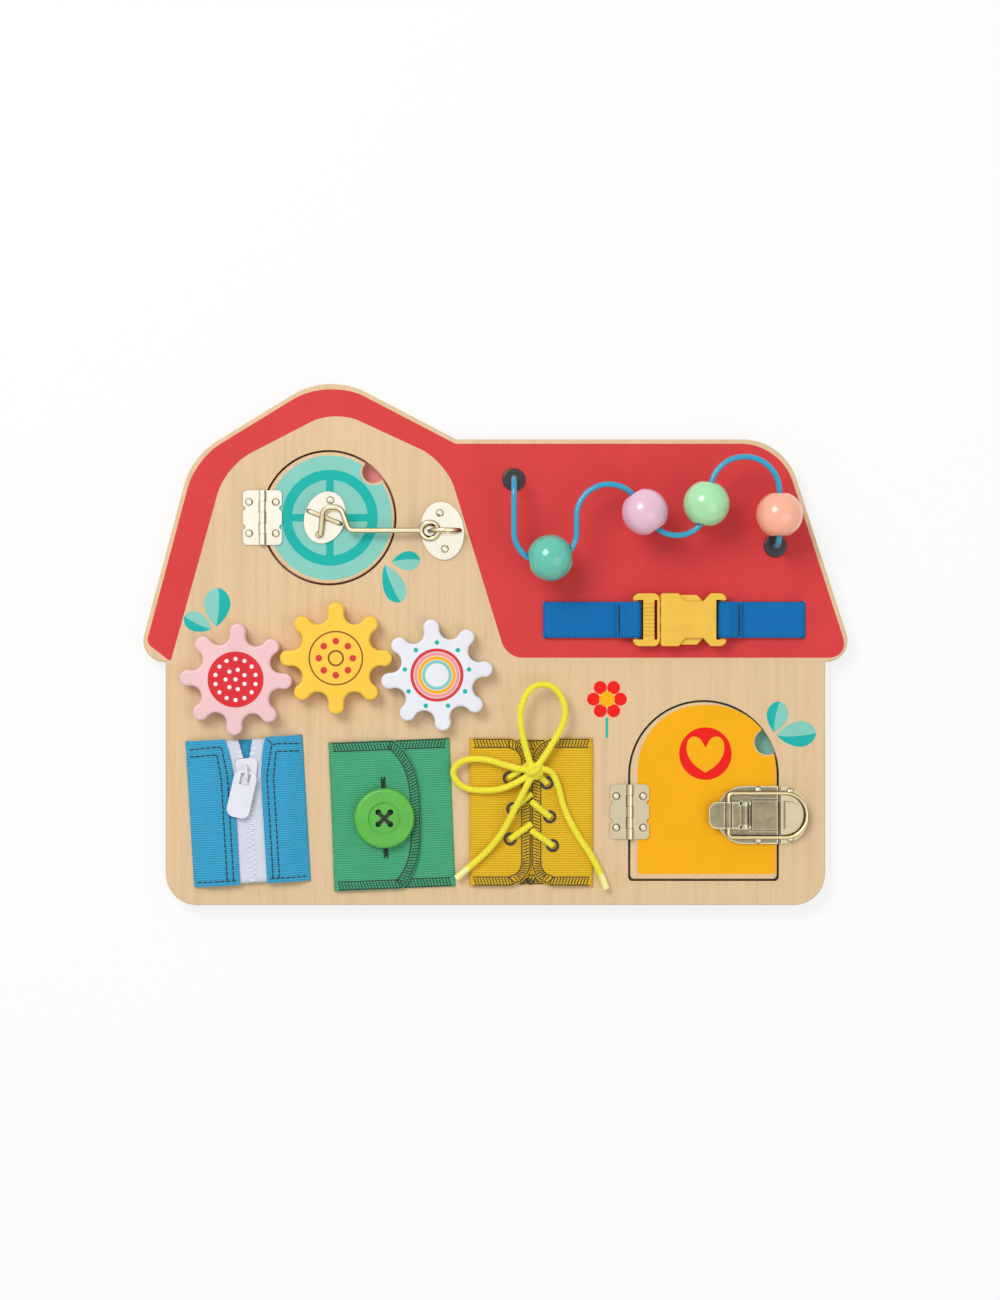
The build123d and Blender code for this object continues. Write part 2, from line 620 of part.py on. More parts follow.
def catch_screws():
    z = FACE + PLATE_THICKNESS
    reach = (CATCH_SCREW_REACH, -CATCH_SCREW_REACH)
    return [(*polar(CATCH_X, CATCH_Y, step, RIGHT_ANGLE + CATCH_TILT), z) for step in reach]


def strike_screws():
    z = FACE + PLATE_THICKNESS
    return [(STRIKE_SCREW_X, LATCH_Y + step * STRIKE_SCREW_OFFSET, z) for step in (-1, 1)]


def rivets():
    z = FACE + LATCH_BASE_THICKNESS
    return [(RIVET_X, LATCH_Y + step * RIVET_OFFSET, z) for step in (-1, 1)]


def board_screw_places():
    left = hinge_screws(window_axis(), WINDOW_Y, -1) + hinge_screws(door_axis(), DOOR_HINGE_Y, -1)
    return left + eye_screws() + strike_screws()


def window_screw_places():
    return hinge_screws(window_axis(), WINDOW_Y, 1) + catch_screws()


def door_screw_places():
    return hinge_screws(door_axis(), DOOR_HINGE_Y, 1) + rivets()


def screws(places):
    return group([screw(x, y, z) for x, y, z in places])


def back_screw_places():
    side = WALL_HALF_WIDTH - BACK_SCREW_INSET
    low = BASE_Y + BACK_SCREW_RISE
    high = EAVE_Y - BACK_SCREW_EAVE_DROP
    shoulder = BOARD_WIDTH / 2 - BACK_SCREW_SHOULDER_INSET
    return (
        (-side, low),
        (side, low),
        (0, low),
        (-side, high),
        (side, high),
        (PEAK_X, BOARD_HEIGHT / 2 - BACK_SCREW_PEAK_DROP),
        (BACK_SCREW_ROOF_SHARE * BOARD_WIDTH, RIDGE_Y - BACK_SCREW_RIDGE_DROP),
        (shoulder, RIDGE_Y - BACK_SCREW_SHOULDER_DROP),
    )


def back_screw(x, y, fit):
    shank = post(x, y, 0, SCREW_SHANK_RADIUS + fit, BACK_SCREW_LENGTH)
    head = Cone(BACK_SCREW_HEAD_RADIUS + fit, SCREW_SHANK_RADIUS + fit, BACK_SCREW_HEAD_HEIGHT, align=UP)
    return shank + Pos(x, y, 0) * head


# Hinges

def window_axis():
    return WINDOW_X - WINDOW_HOLE_RADIUS + HINGE_INSET


def door_axis():
    return DOOR_X - DOOR_HALF_WIDTH + HINGE_INSET


def hinge_leaf(side, bore):
    own = 0 if side < 0 else 1
    knuckle = HINGE_LENGTH / HINGE_KNUCKLES
    outline = Pos(side * HINGE_LEAF_WIDTH / 2, 0) * Rectangle(HINGE_LEAF_WIDTH, HINGE_LENGTH)
    outer = outline.vertices().group_by(Axis.X)[0 if side < 0 else -1]
    outline = fillet(outer, HINGE_CORNER_RADIUS)
    for step in (-1, 1):
        bite = Circle(HINGE_NOTCH_RADIUS)
        outline -= Pos(side * HINGE_LEAF_WIDTH, step * HINGE_NOTCH_SHARE * HINGE_LENGTH) * bite
    leaf = plate(outline, -HINGE_LIFT, HINGE_LEAF_THICKNESS)
    clear = HINGE_KNUCKLE_RADIUS + SIDE_GAP
    for index in range(HINGE_KNUCKLES):
        y = (index + 1 / 2) * knuckle - HINGE_LENGTH / 2
        if index % 2 == own:
            roll = Rot(RIGHT_ANGLE, 0, 0) * Cylinder(HINGE_KNUCKLE_RADIUS, knuckle - SIDE_GAP)
            leaf += Pos(0, y, 0) * roll
        else:
            leaf -= slab(0, y, -HINGE_LIFT, 2 * clear, knuckle + SIDE_GAP, HINGE_LIFT)
    return leaf - Rot(RIGHT_ANGLE, 0, 0) * Cylinder(bore, HINGE_LENGTH)


def placed_leaf(x, y, side, bore):
    leaf = Pos(x, y, FACE + HINGE_LIFT) * hinge_leaf(side, bore)
    for place in hinge_screws(x, y, side):
        leaf -= through_hole(place[0], place[1])
    return leaf


def hinge_fixed_leaves():
    bore = HINGE_PIN_RADIUS + FIXED_FIT
    window = placed_leaf(window_axis(), WINDOW_Y, -1, bore)
    return group([window, placed_leaf(door_axis(), DOOR_HINGE_Y, -1, bore)])


def hinge_pins():
    pin = Rot(RIGHT_ANGLE, 0, 0) * Cylinder(HINGE_PIN_RADIUS, HINGE_LENGTH)
    z = FACE + HINGE_LIFT
    return group([Pos(window_axis(), WINDOW_Y, z) * pin, Pos(door_axis(), DOOR_HINGE_Y, z) * pin])


# Window and hook

def finger_notch(x, y, reach, angle, radius):
    notch_x, notch_y = polar(x, y, reach, angle)
    return post(notch_x, notch_y, BACK_THICKNESS, radius, FRONT_THICKNESS)


def window_disc():
    disc = post(WINDOW_X, WINDOW_Y, BACK_THICKNESS, WINDOW_HOLE_RADIUS - DOOR_GAP, FRONT_THICKNESS)
    disc -= finger_notch(WINDOW_X, WINDOW_Y, WINDOW_NOTCH_REACH, WINDOW_NOTCH_ANGLE, WINDOW_NOTCH_RADIUS)
    disc = fillet(disc.faces().sort_by(Axis.Z)[-1].edges(), WOOD_ROUND)
    for x, y, z in window_screw_places():
        disc -= screw_hole(x, y, z)
    return disc


def window_leaf():
    return placed_leaf(window_axis(), WINDOW_Y, 1, HINGE_PIN_RADIUS + RUNNING_FIT)


def oval_plate(x, y, width, height, tilt):
    oval = plate(turned(x, y, tilt) * Ellipse(width / 2, height / 2), FACE, PLATE_THICKNESS)
    return oval


def eye_place():
    return Pos(HOOK_PIVOT_X, HOOK_Y, FACE)


def catch_place():
    return turned(CATCH_X, CATCH_Y, CATCH_BAR_TILT) * Pos(-CATCH_SPAN / 2, 0, FACE)


def arch(span, height, bend):
    points = ((0, 0, 0), (0, 0, height), (span, 0, height), (span, 0, 0))
    return tube(points, bend, STAPLE_WIRE_RADIUS)


def arch_holes(span):
    hole = post(0, 0, 0, STAPLE_WIRE_RADIUS + FIXED_FIT, PLATE_THICKNESS)
    return hole + Pos(span, 0, 0) * hole


def eye_plate():
    oval = oval_plate(EYE_PLATE_X, HOOK_Y, EYE_PLATE_WIDTH, EYE_PLATE_HEIGHT, EYE_PLATE_TILT)
    oval -= eye_place() * arch_holes(EYE_SPAN)
    for x, y, z in eye_screws():
        oval -= through_hole(x, y)
    return oval


def eye_staple():
    bend = EYE_SPAN / 2 - FIXED_FIT
    return eye_place() * arch(EYE_SPAN, HOOK_HEIGHT + EYE_SPAN / 2, bend)


def catch_plate():
    oval = oval_plate(CATCH_X, CATCH_Y, CATCH_WIDTH, CATCH_HEIGHT, CATCH_TILT)
    oval -= catch_place() * arch_holes(CATCH_SPAN)
    for x, y, z in catch_screws():
        oval -= through_hole(x, y)
    return oval


def catch_staple():
    return catch_place() * arch(CATCH_SPAN, CATCH_BAR_HEIGHT, CATCH_BAR_RADIUS)


def hook():
    flat = cos(radians(HOOK_TILT))
    top = HOOK_BEND_HEIGHT / flat
    near, far = HOOK_BEND_X_SHARES
    points = (
        (-HOOK_RING_RADIUS, 0),
        (-HOOK_ROD_LENGTH, 0),
        (-near * HOOK_REACH, top),
        (-far * HOOK_REACH, top),
        (-HOOK_REACH, -HOOK_TIP_DROP / flat),
    )
    wire = tube(points, (HOOK_ROOT_RADIUS, HOOK_BEND_RADIUS, HOOK_BEND_RADIUS), HOOK_WIRE_RADIUS)
    wire += Torus(HOOK_RING_RADIUS, HOOK_WIRE_RADIUS)
    tip = Pos(-HOOK_REACH, -HOOK_TIP_DROP / flat, 0) * Sphere(HOOK_WIRE_RADIUS)
    wire += tip
    return Pos(HOOK_PIVOT_X, HOOK_Y, FACE + HOOK_HEIGHT) * Rot(HOOK_TILT, 0, 0) * wire


# Door and toggle latch

def door_panel():
    door = plate(door_outline(DOOR_GAP), BACK_THICKNESS, FRONT_THICKNESS)
    door -= finger_notch(DOOR_X, DOOR_ARCH_Y, DOOR_NOTCH_REACH, DOOR_NOTCH_ANGLE, DOOR_NOTCH_RADIUS)
    door = fillet(door.faces().sort_by(Axis.Z)[-1].edges(), WOOD_ROUND)
    for x, y, z in door_screw_places():
        door -= screw_hole(x, y, z)
    return door


def door_leaf():
    return placed_leaf(door_axis(), DOOR_HINGE_Y, 1, HINGE_PIN_RADIUS + RUNNING_FIT)


def cross_pin(x, z, radius, length):
    return Pos(x, LATCH_Y, FACE + z) * Rot(RIGHT_ANGLE, 0, 0) * Cylinder(radius, length)


def latch_base():
    length = LATCH_BASE_RIGHT - LATCH_BASE_LEFT
    outline = Pos(LATCH_BASE_LEFT + length / 2, LATCH_Y) * Rectangle(length, LATCH_BASE_HEIGHT)
    left = outline.vertices().group_by(Axis.X)[0]
    outline = fillet(left, LATCH_BASE_HEIGHT / 2 - SIDE_GAP)
    base = plate(outline, FACE, LATCH_BASE_THICKNESS)
    span = LATCH_BASE_RIGHT - LATCH_BLOCK_LEFT
    bump = slab(LATCH_BLOCK_LEFT + span / 2, LATCH_Y, FACE, span, LATCH_BLOCK_WIDTH, LATCH_BLOCK_HEIGHT)
    bump = fillet(bump.edges().group_by(Axis.Z)[-1], LATCH_BLOCK_ROUND)
    base += bump
    offset_y = (LEVER_NECK_WIDTH + LATCH_CHEEK_THICKNESS) / 2 + SIDE_GAP
    for step in (-1, 1):
        y = LATCH_Y + step * offset_y
        reach = LATCH_BLOCK_LEFT - LATCH_PIVOT_X
        foot = 2 * LATCH_CHEEK_RADIUS
        base += slab(LATCH_PIVOT_X, y, FACE, foot, LATCH_CHEEK_THICKNESS, LATCH_PIVOT_HEIGHT)
        base += slab(LATCH_PIVOT_X + reach / 2, y, FACE, reach, LATCH_CHEEK_THICKNESS, LATCH_PIVOT_HEIGHT)
        eye = Rot(RIGHT_ANGLE, 0, 0) * Cylinder(LATCH_CHEEK_RADIUS, LATCH_CHEEK_THICKNESS)
        base += Pos(LATCH_PIVOT_X, y, FACE + LATCH_PIVOT_HEIGHT) * eye
    base -= cross_pin(LATCH_PIVOT_X, LATCH_PIVOT_HEIGHT, LATCH_PIN_RADIUS + FIXED_FIT, LEVER_WIDTH)
    for x, y, z in rivets():
        base -= through_hole(x, y)
    return base


def latch_pin():
    length = LEVER_NECK_WIDTH + 2 * (LATCH_CHEEK_THICKNESS + SIDE_GAP)
    return cross_pin(LATCH_PIVOT_X, LATCH_PIVOT_HEIGHT, LATCH_PIN_RADIUS, length)


def latch_lever():
    z = FACE + LATCH_PIVOT_HEIGHT
    tab_end = LATCH_PIVOT_X - LATCH_CHEEK_RADIUS - SIDE_GAP
    tab = tab_end - LEVER_LEFT
    outline = Pos(LEVER_LEFT + tab / 2, LATCH_Y) * Rectangle(tab, LEVER_WIDTH)
    outline = fillet(outline.vertices().group_by(Axis.X)[0], LEVER_END_RADIUS)
    lever = plate(outline, z - LEVER_THICKNESS / 2, LEVER_THICKNESS)
    neck = LATCH_PIVOT_X - LEVER_LEFT - LEVER_END_RADIUS
    neck_x = LATCH_PIVOT_X - neck / 2
    lever += slab(neck_x, LATCH_Y, z - LEVER_THICKNESS / 2, neck, LEVER_NECK_WIDTH, LEVER_THICKNESS)
    lever += cross_pin(BAIL_PIVOT_X, LATCH_PIVOT_HEIGHT, LEVER_BOSS_RADIUS, LEVER_WIDTH)
    lever += cross_pin(LATCH_PIVOT_X, LATCH_PIVOT_HEIGHT, LEVER_BOSS_RADIUS, LEVER_NECK_WIDTH)
    lever -= cross_pin(BAIL_PIVOT_X, LATCH_PIVOT_HEIGHT, BAIL_WIRE_RADIUS + RUNNING_FIT, LEVER_WIDTH)
    return lever - cross_pin(LATCH_PIVOT_X, LATCH_PIVOT_HEIGHT, LATCH_PIN_RADIUS + RUNNING_FIT, LEVER_WIDTH)


def latch_bail():
    z = FACE + LATCH_PIVOT_HEIGHT
    points = (
        (BAIL_PIVOT_X, LATCH_Y + BAIL_TURN_IN, z),
        (BAIL_PIVOT_X, LATCH_Y + BAIL_HALF_SPAN, z),
        (BAIL_REACH, LATCH_Y + BAIL_HALF_SPAN, z),
        (BAIL_REACH, LATCH_Y - BAIL_HALF_SPAN, z),
        (BAIL_PIVOT_X, LATCH_Y - BAIL_HALF_SPAN, z),
        (BAIL_PIVOT_X, LATCH_Y - BAIL_TURN_IN, z),
    )
    radii = (BAIL_CORNER_RADIUS, BAIL_END_RADIUS, BAIL_END_RADIUS, BAIL_CORNER_RADIUS)
    return tube(points, radii, BAIL_WIRE_RADIUS)


def latch_strike():
    length = STRIKE_RIGHT - STRIKE_LEFT
    outline = Pos(STRIKE_LEFT + length / 2, LATCH_Y) * Rectangle(length, STRIKE_HEIGHT)
    outline = fillet(outline.vertices().group_by(Axis.X)[-1], length - SIDE_GAP)
    strike = plate(outline, FACE, PLATE_THICKNESS)
    radius = LUG_WIDTH / 2
    straight = LUG_RIGHT - radius - LUG_LEFT
    foot = Pos(LUG_LEFT + straight / 2, LATCH_Y) * Rectangle(straight, LUG_WIDTH)
    foot += Pos(LUG_RIGHT - radius, LATCH_Y) * Circle(radius)
    foot = foot & Pos(LUG_RIGHT - LUG_WIDTH, LATCH_Y) * Rectangle(2 * LUG_WIDTH, LUG_WIDTH)
    foot -= Pos(LUG_LEFT - LUG_WIDTH, LATCH_Y) * Rectangle(2 * LUG_WIDTH, LUG_WIDTH)
    strike += Pos(0, 0, FACE) * extrude(foot, amount=LUG_HEIGHT, taper=LUG_DRAFT)
    for x, y, z in strike_screws():
        strike -= through_hole(x, y)
    return strike


# Gears

def gear_profile():
    half = pi / GEAR_TEETH
    tip = GEAR_RADIUS - GEAR_TIP_ROUND
    chord = tip ** 2 + GEAR_ROOT_RADIUS ** 2 - 2 * tip * GEAR_ROOT_RADIUS * cos(half)
    dip = (chord - GEAR_TIP_ROUND ** 2) / (2 * (GEAR_TIP_ROUND + tip * cos(half) - GEAR_ROOT_RADIUS))
    centre = GEAR_ROOT_RADIUS + dip
    slope = atan2(centre * sin(half), centre * cos(half) - tip)
    join_x = tip + GEAR_TIP_ROUND * cos(slope)
    join_y = GEAR_TIP_ROUND * sin(slope)
    edges = []
    for index in range(GEAR_TEETH):
        turn = degrees(2 * half) * index
        crest = ThreePointArc((join_x, -join_y), (GEAR_RADIUS, 0), (join_x, join_y))
        reach = hypot(join_x, join_y)
        later = 2 * half - atan2(join_y, join_x)
        low = (GEAR_ROOT_RADIUS * cos(half), GEAR_ROOT_RADIUS * sin(half))
        root = ThreePointArc((join_x, join_y), low, (reach * cos(later), reach * sin(later)))
        edges += [Rot(0, 0, turn) * crest, Rot(0, 0, turn) * root]
    return make_face([edge for item in edges for edge in item.edges()])


def gear(name, phase):
    x, y = gear_places()[name]
    low = FACE + WASHER_THICKNESS
    body = extrude(gear_profile(), amount=GEAR_THICKNESS)
    body = fillet(body.faces().sort_by(Axis.Z)[-1].edges(), GEAR_EDGE_ROUND)
    body -= post(0, 0, 0, SPINDLE_RADIUS + FIXED_FIT, SPINDLE_DEPTH)
    return Pos(x, y, low) * Rot(0, 0, phase) * body


def spindle(name):
    x, y = gear_places()[name]
    length = FRONT_THICKNESS + WASHER_THICKNESS + SPINDLE_DEPTH - SPINDLE_BORE_GAP
    stem = post(x, y, BACK_THICKNESS + SPINDLE_BORE_GAP, SPINDLE_RADIUS, length)
    flange = post(x, y, BACK_THICKNESS + SPINDLE_BORE_GAP, SPINDLE_FLANGE_RADIUS, SPINDLE_FLANGE_THICKNESS)
    return stem + flange


def gear_washers():
    rings = []
    for x, y in gear_places().values():
        ring = post(x, y, FACE, WASHER_RADIUS, WASHER_THICKNESS)
        rings.append(ring - post(x, y, FACE, SPINDLE_RADIUS + SIDE_GAP, WASHER_THICKNESS))
    return group(rings)


# Bead wire

def bead_wire():
    z = FACE + WIRE_HEIGHT
    plan = wire_points()
    low = FACE - GROMMET_DEPTH
    points = [(*plan[0], low)] + [(x, y, z) for x, y in plan] + [(*plan[-1], low)]
    return tube(points, [share * WIRE_SPAN for share in WIRE_RADIUS_SHARES], WIRE_RADIUS)


def wire_grommets():
    rings = []
    for x, y in grommet_places():
        flange = post(x, y, FACE, GROMMET_RADIUS, GROMMET_HEIGHT)
        flange = fillet(flange.edges().group_by(Axis.Z)[-1], GROMMET_ROUND)
        low = FACE - GROMMET_DEPTH
        ring = flange + post(x, y, low, GROMMET_SLEEVE_RADIUS, GROMMET_DEPTH)
        rings.append(ring - post(x, y, low, WIRE_RADIUS + FIXED_FIT, GROMMET_DEPTH + GROMMET_HEIGHT))
    return group(rings)


def bead(x, y, angle):
    reach = (BEAD_RADIUS ** 2 - BEAD_BORE_RADIUS ** 2) ** (1 / 2)
    ball = Sphere(BEAD_RADIUS) - Cylinder(BEAD_BORE_RADIUS, 2 * BEAD_RADIUS)
    mouth = Cone(BEAD_BORE_RADIUS - BEAD_MOUTH, BEAD_BORE_RADIUS + BEAD_MOUTH, 2 * BEAD_MOUTH)
    ball -= Pos(0, 0, reach - BEAD_MOUTH) * mouth
    ball -= Rot(HALF_TURN, 0, 0) * Pos(0, 0, reach - BEAD_MOUTH) * mouth
    return Pos(x, y, FACE + WIRE_HEIGHT) * Rot(0, 0, angle) * Rot(0, RIGHT_ANGLE, 0) * ball


def valley_bead():
    plan = wire_points()
    radius = WIRE_RADIUS_SHARES[1] * WIRE_SPAN
    middle = (plan[1][0] + plan[2][0]) / 2
    x, y = polar(middle, WIRE_BOTTOM + radius, VALLEY_BEAD_INSET - radius, VALLEY_BEAD_TURN + RIGHT_ANGLE)
    return bead(x, y, VALLEY_BEAD_TURN)


def run_bead(start, end, share, sideways):
    angle = atan2(end[1] - start[1], end[0] - start[0])
    x = start[0] + share * (end[0] - start[0]) - sideways * sin(angle)
    y = start[1] + share * (end[1] - start[1]) + sideways * cos(angle)
    return bead(x, y, degrees(angle))


def pink_bead():
    plan = wire_points()
    return run_bead(plan[4], plan[5], PINK_BEAD_SHARE, 0)


def green_bead():
    plan = wire_points()
    return run_bead(plan[6], plan[7], GREEN_BEAD_SHARE, GREEN_BEAD_OFFSET)


def peach_bead():
    return bead(wire_points()[-1][0], PEACH_BEAD_Y, RIGHT_ANGLE)


# Cloth

def strip(points, radii, thickness, width):
    path = FilletPolyline(*points, radius=radii)
    outline = make_face(offset(path, amount=thickness / 2).edges())
    return Rot(RIGHT_ANGLE, 0, 0) * extrude(outline, amount=width / 2, both=True)


def tucked(width, rises, height):
    edge = (CLOTH - width) / 2
    low = BACK_THICKNESS + CLOTH
    points = [(edge + TAIL_LENGTH, low), (edge, low)] + [(edge + x, FACE + z) for x, z in rises]
    return strip(points, CLOTH_BEND, CLOTH, height)


def zip_place():
    return turned(ZIP_X, ZIP_Y, ZIP_TILT)


def zip_cloth(side):
    inner = ZIP_WIDTH / 2 - ZIP_OPENING_HALF + side * ZIP_OFFSET
    rises = ((0, EDGE_RISE), (ZIP_CLOTH_RAMP, ZIP_CLOTH_RISE), (inner, ZIP_CLOTH_RISE))
    turn = 0 if side > 0 else HALF_TURN
    return zip_place() * Rot(0, 0, turn) * tucked(ZIP_WIDTH, rises, ZIP_HEIGHT)


def zip_backing():
    width = ZIP_WIDTH - 2 * ZIP_BACKING_INSET
    return zip_place() * slab(0, 0, FACE, width, ZIP_HEIGHT, BACKING)


def spread(y):
    end = ZIP_HEIGHT / 2
    return TAPE_SPREAD * max(y - TAPE_SPREAD_START, 0) / (end - TAPE_SPREAD_START)


def zip_tape(side):
    half = ZIP_HEIGHT / 2
    inner = TOOTH_OUTER
    outer = inner + TAPE_WIDTH
    corners = (
        (side * inner, -half),
        (side * outer, -half),
        (side * outer, half),
        (side * (inner + spread(half)), half),
        (side * inner, TAPE_SPREAD_START),
    )
    shape = make_face(Polyline(*corners, close=True))
    return zip_place() * Pos(ZIP_OFFSET, 0, 0) * plate(shape, FACE + TAPE_BOTTOM, TAPE_THICKNESS)


def zip_tapes():
    return group([zip_tape(-1), zip_tape(1)])


def zip_teeth():
    teeth = []
    width = TOOTH_OUTER + TOOTH_INNER
    count = int((ZIP_HEIGHT - TOOTH_PITCH) / TOOTH_PITCH)
    for index in range(count):
        for side in (-1, 1):
            y = (index + 1 / 2) * TOOTH_PITCH - ZIP_HEIGHT / 2 + (1 + side) * TOOTH_PITCH / 4
            x = side * (TOOTH_OUTER - width / 2 + spread(y - TOOTH_LENGTH / 2))
            teeth.append(slab(x, y, FACE + TOOTH_BOTTOM, width, TOOTH_LENGTH, TOOTH_HEIGHT))
    return zip_place() * Pos(ZIP_OFFSET, 0, 0) * group(teeth)


def slider_place():
    return zip_place() * Pos(ZIP_OFFSET, SLIDER_Y, FACE)


def slider_plate(z, height):
    half = SLIDER_LENGTH / 2
    corners = (
        (-SLIDER_TAIL_WIDTH / 2, -half),
        (SLIDER_TAIL_WIDTH / 2, -half),
        (SLIDER_WIDTH / 2, half),
        (-SLIDER_WIDTH / 2, half),
    )
    return plate(make_face(FilletPolyline(*corners, radius=SLIDER_ROUND, close=True)), z, height)


def zip_slider():
    body = slider_plate(SLIDER_FOOT, SLIDER_FOOT_THICKNESS) + slider_plate(SLIDER_TOP, SLIDER_TOP_THICKNESS)
    tall = SLIDER_TOP - SLIDER_FOOT
    body += slab(0, SLIDER_POST_Y, SLIDER_FOOT, SLIDER_POST_WIDTH, SLIDER_POST_LENGTH, tall)
    top = SLIDER_TOP + SLIDER_TOP_THICKNESS / 2
    points = (
        (0, -BRIDGE_HALF_LENGTH, top),
        (0, -BRIDGE_HALF_LENGTH, top + BRIDGE_HEIGHT),
        (0, BRIDGE_HALF_LENGTH, top + BRIDGE_HEIGHT),
        (0, BRIDGE_HALF_LENGTH, top),
    )
    return slider_place() * (body + tube(points, BRIDGE_BEND, BRIDGE_WIRE_RADIUS))


def zip_pull():
    blade = Pos(0, PULL_BAR / 2 - PULL_LENGTH / 2) * Rectangle(PULL_WIDTH, PULL_LENGTH)
    blade = fillet(blade.vertices(), PULL_ROUND)
    hollow = Pos(0, -PULL_BAR / 2 - PULL_WINDOW_LENGTH / 2) * Rectangle(PULL_WINDOW_WIDTH, PULL_WINDOW_LENGTH)
    body = plate(blade - hollow, -PULL_THICKNESS / 2, PULL_THICKNESS)
    z = SLIDER_TOP + SLIDER_TOP_THICKNESS + PULL_AXIS_RISE
    return slider_place() * Pos(0, 0, z) * Rot(0, 0, PULL_SWING) * body


def button_place():
    return turned(BUTTON_PANEL_X, BUTTON_PANEL_Y, BUTTON_PANEL_TILT)


def button_base():
    rises = ((0, BUTTON_BASE_RISE), (BUTTON_BASE_REACH, BUTTON_BASE_RISE))
    return button_place() * Rot(0, 0, HALF_TURN) * tucked(BUTTON_PANEL_WIDTH, rises, BUTTON_PANEL_HEIGHT)


def flap_outline():
    edge = [(across * BUTTON_PANEL_WIDTH, along * BUTTON_PANEL_HEIGHT)
            for across, along in zip(FLAP_EDGE_X_SHARES, FLAP_EDGE_Y_SHARES)]
    left = -BUTTON_PANEL_WIDTH
    curve = Spline(*edge)
    lines = Polyline(edge[-1], (left, edge[-1][1]), (left, edge[0][1]), edge[0])
    return make_face(curve.edges() + lines.edges())


def button_flap():
    reach = BUTTON_PANEL_WIDTH
    sheet = tucked(BUTTON_PANEL_WIDTH, ((0, FLAP_RISE), (reach, FLAP_RISE)), BUTTON_PANEL_HEIGHT)
    flap = button_place() * (sheet & plate(flap_outline(), 0, 2 * FACE))
    slit = slab(BUTTON_X, BUTTON_Y, FACE, SLIT_WIDTH, SLIT_LENGTH, FACE)
    flap -= slit
    return flap - post(BUTTON_X, BUTTON_Y, FACE, SLIT_EYE_RADIUS, FACE)


def button_holes():
    sides = (-BUTTON_HOLE_OFFSET, BUTTON_HOLE_OFFSET)
    return [(x, y) for x in sides for y in sides]


def button():
    body = Cylinder(BUTTON_RADIUS, BUTTON_THICKNESS, align=UP)
    body = fillet(body.edges().filter_by(GeomType.CIRCLE), BUTTON_ROUND)
    low = BUTTON_THICKNESS - BUTTON_RECESS_DEPTH
    body -= post(0, 0, low, BUTTON_RECESS_RADIUS, BUTTON_RECESS_DEPTH)
    for x, y in button_holes():
        body -= post(x, y, 0, BUTTON_HOLE_RADIUS, BUTTON_THICKNESS)
    return Pos(BUTTON_X, BUTTON_Y, FACE + BUTTON_LIFT) * body


def button_thread():
    floor = BUTTON_LIFT + BUTTON_THICKNESS - BUTTON_RECESS_DEPTH
    low = BUTTON_BASE_RISE + CLOTH / 2
    thread = post(0, 0, low, THREAD_SHANK_RADIUS, BUTTON_LIFT - low)
    tall = floor - BUTTON_LIFT + 2 * THREAD_RADIUS
    for x, y in button_holes():
        thread += post(x, y, BUTTON_LIFT - THREAD_RADIUS, THREAD_RADIUS, tall)
    length = 2 * hypot(BUTTON_HOLE_OFFSET, BUTTON_HOLE_OFFSET)
    for angle in (1, -1):
        bar = Rot(0, 0, angle * RIGHT_ANGLE / 2)
        thread += bar * slab(0, 0, floor, length, 2 * THREAD_RADIUS, THREAD_RADIUS)
        thread += bar * slab(0, 0, BUTTON_LIFT - THREAD_RADIUS, length, 2 * THREAD_RADIUS, THREAD_RADIUS)
    return Pos(BUTTON_X, BUTTON_Y, FACE) * thread


def lace_place():
    return turned(LACE_PANEL_X, LACE_PANEL_Y, 0)


def eyelets(shares):
    return [(across * LACE_PANEL_WIDTH, along * LACE_PANEL_HEIGHT) for across, along in shares]


def lace_backing():
    return lace_place() * slab(0, 0, FACE, 2 * LACE_BACKING_HALF, LACE_PANEL_HEIGHT, BACKING)


def lace_flap(side, holes):
    inner = LACE_PANEL_WIDTH / 2 - LACE_SEAM_HALF
    sheet = tucked(LACE_PANEL_WIDTH, ((0, LACE_RISE), (inner, LACE_RISE)), LACE_PANEL_HEIGHT)
    sheet = Rot(0, 0, 0 if side < 0 else HALF_TURN) * sheet
    for step in (-1, 1):
        tip = (side * LACE_SEAM_HALF, step * LACE_PANEL_HEIGHT / 2)
        bite = Pos(*tip) * Ellipse(LACE_CORNER_WIDTH, LACE_CORNER_HEIGHT)
        sheet -= plate(bite, FACE, FACE)
    for x, y in holes:
        sheet -= post(x, y, FACE, EYELET_HOLE_RADIUS + CLOTH / 2 + FIXED_FIT, FACE)
    return lace_place() * sheet


def lace_eyelets():
    rings = []
    for x, y in eyelets(EYELET_LEFT_SHARES + EYELET_RIGHT_SHARES):
        top = FACE + LACE_RISE + CLOTH / 2
        ring = post(x, y, top, EYELET_RADIUS, EYELET_PROUD)
        ring = fillet(ring.edges().group_by(Axis.Z)[-1], EYELET_PROUD / 2)
        ring += post(x, y, top - CLOTH, EYELET_HOLE_RADIUS + CLOTH / 2, CLOTH)
        rings.append(ring - post(x, y, top - CLOTH, EYELET_HOLE_RADIUS, CLOTH + EYELET_PROUD))
    return lace_place() * group(rings)


def arc_radii(points):
    radii = []
    for before, here, after in zip(points, points[1:], points[2:]):
        first = Vector(*here) - Vector(*before)
        second = Vector(*after) - Vector(*here)
        half = radians(first.get_angle(second)) / 2
        radii.append(LACE_ARC_SHARE * min(first.length, second.length) / tan(half))
    return radii


def lace_run(name, points):
    radii = arc_radii(points)
    run = tube(points, radii, LACE_RADIUS)
    length = run.volume / (pi * LACE_RADIUS ** 2)
    print(name, "length", round(length, 1), "radii", [round(radius, 1) for radius in radii])
    return run


def raised(route):
    return [(x, y, FACE + z) for x, y, z in route]


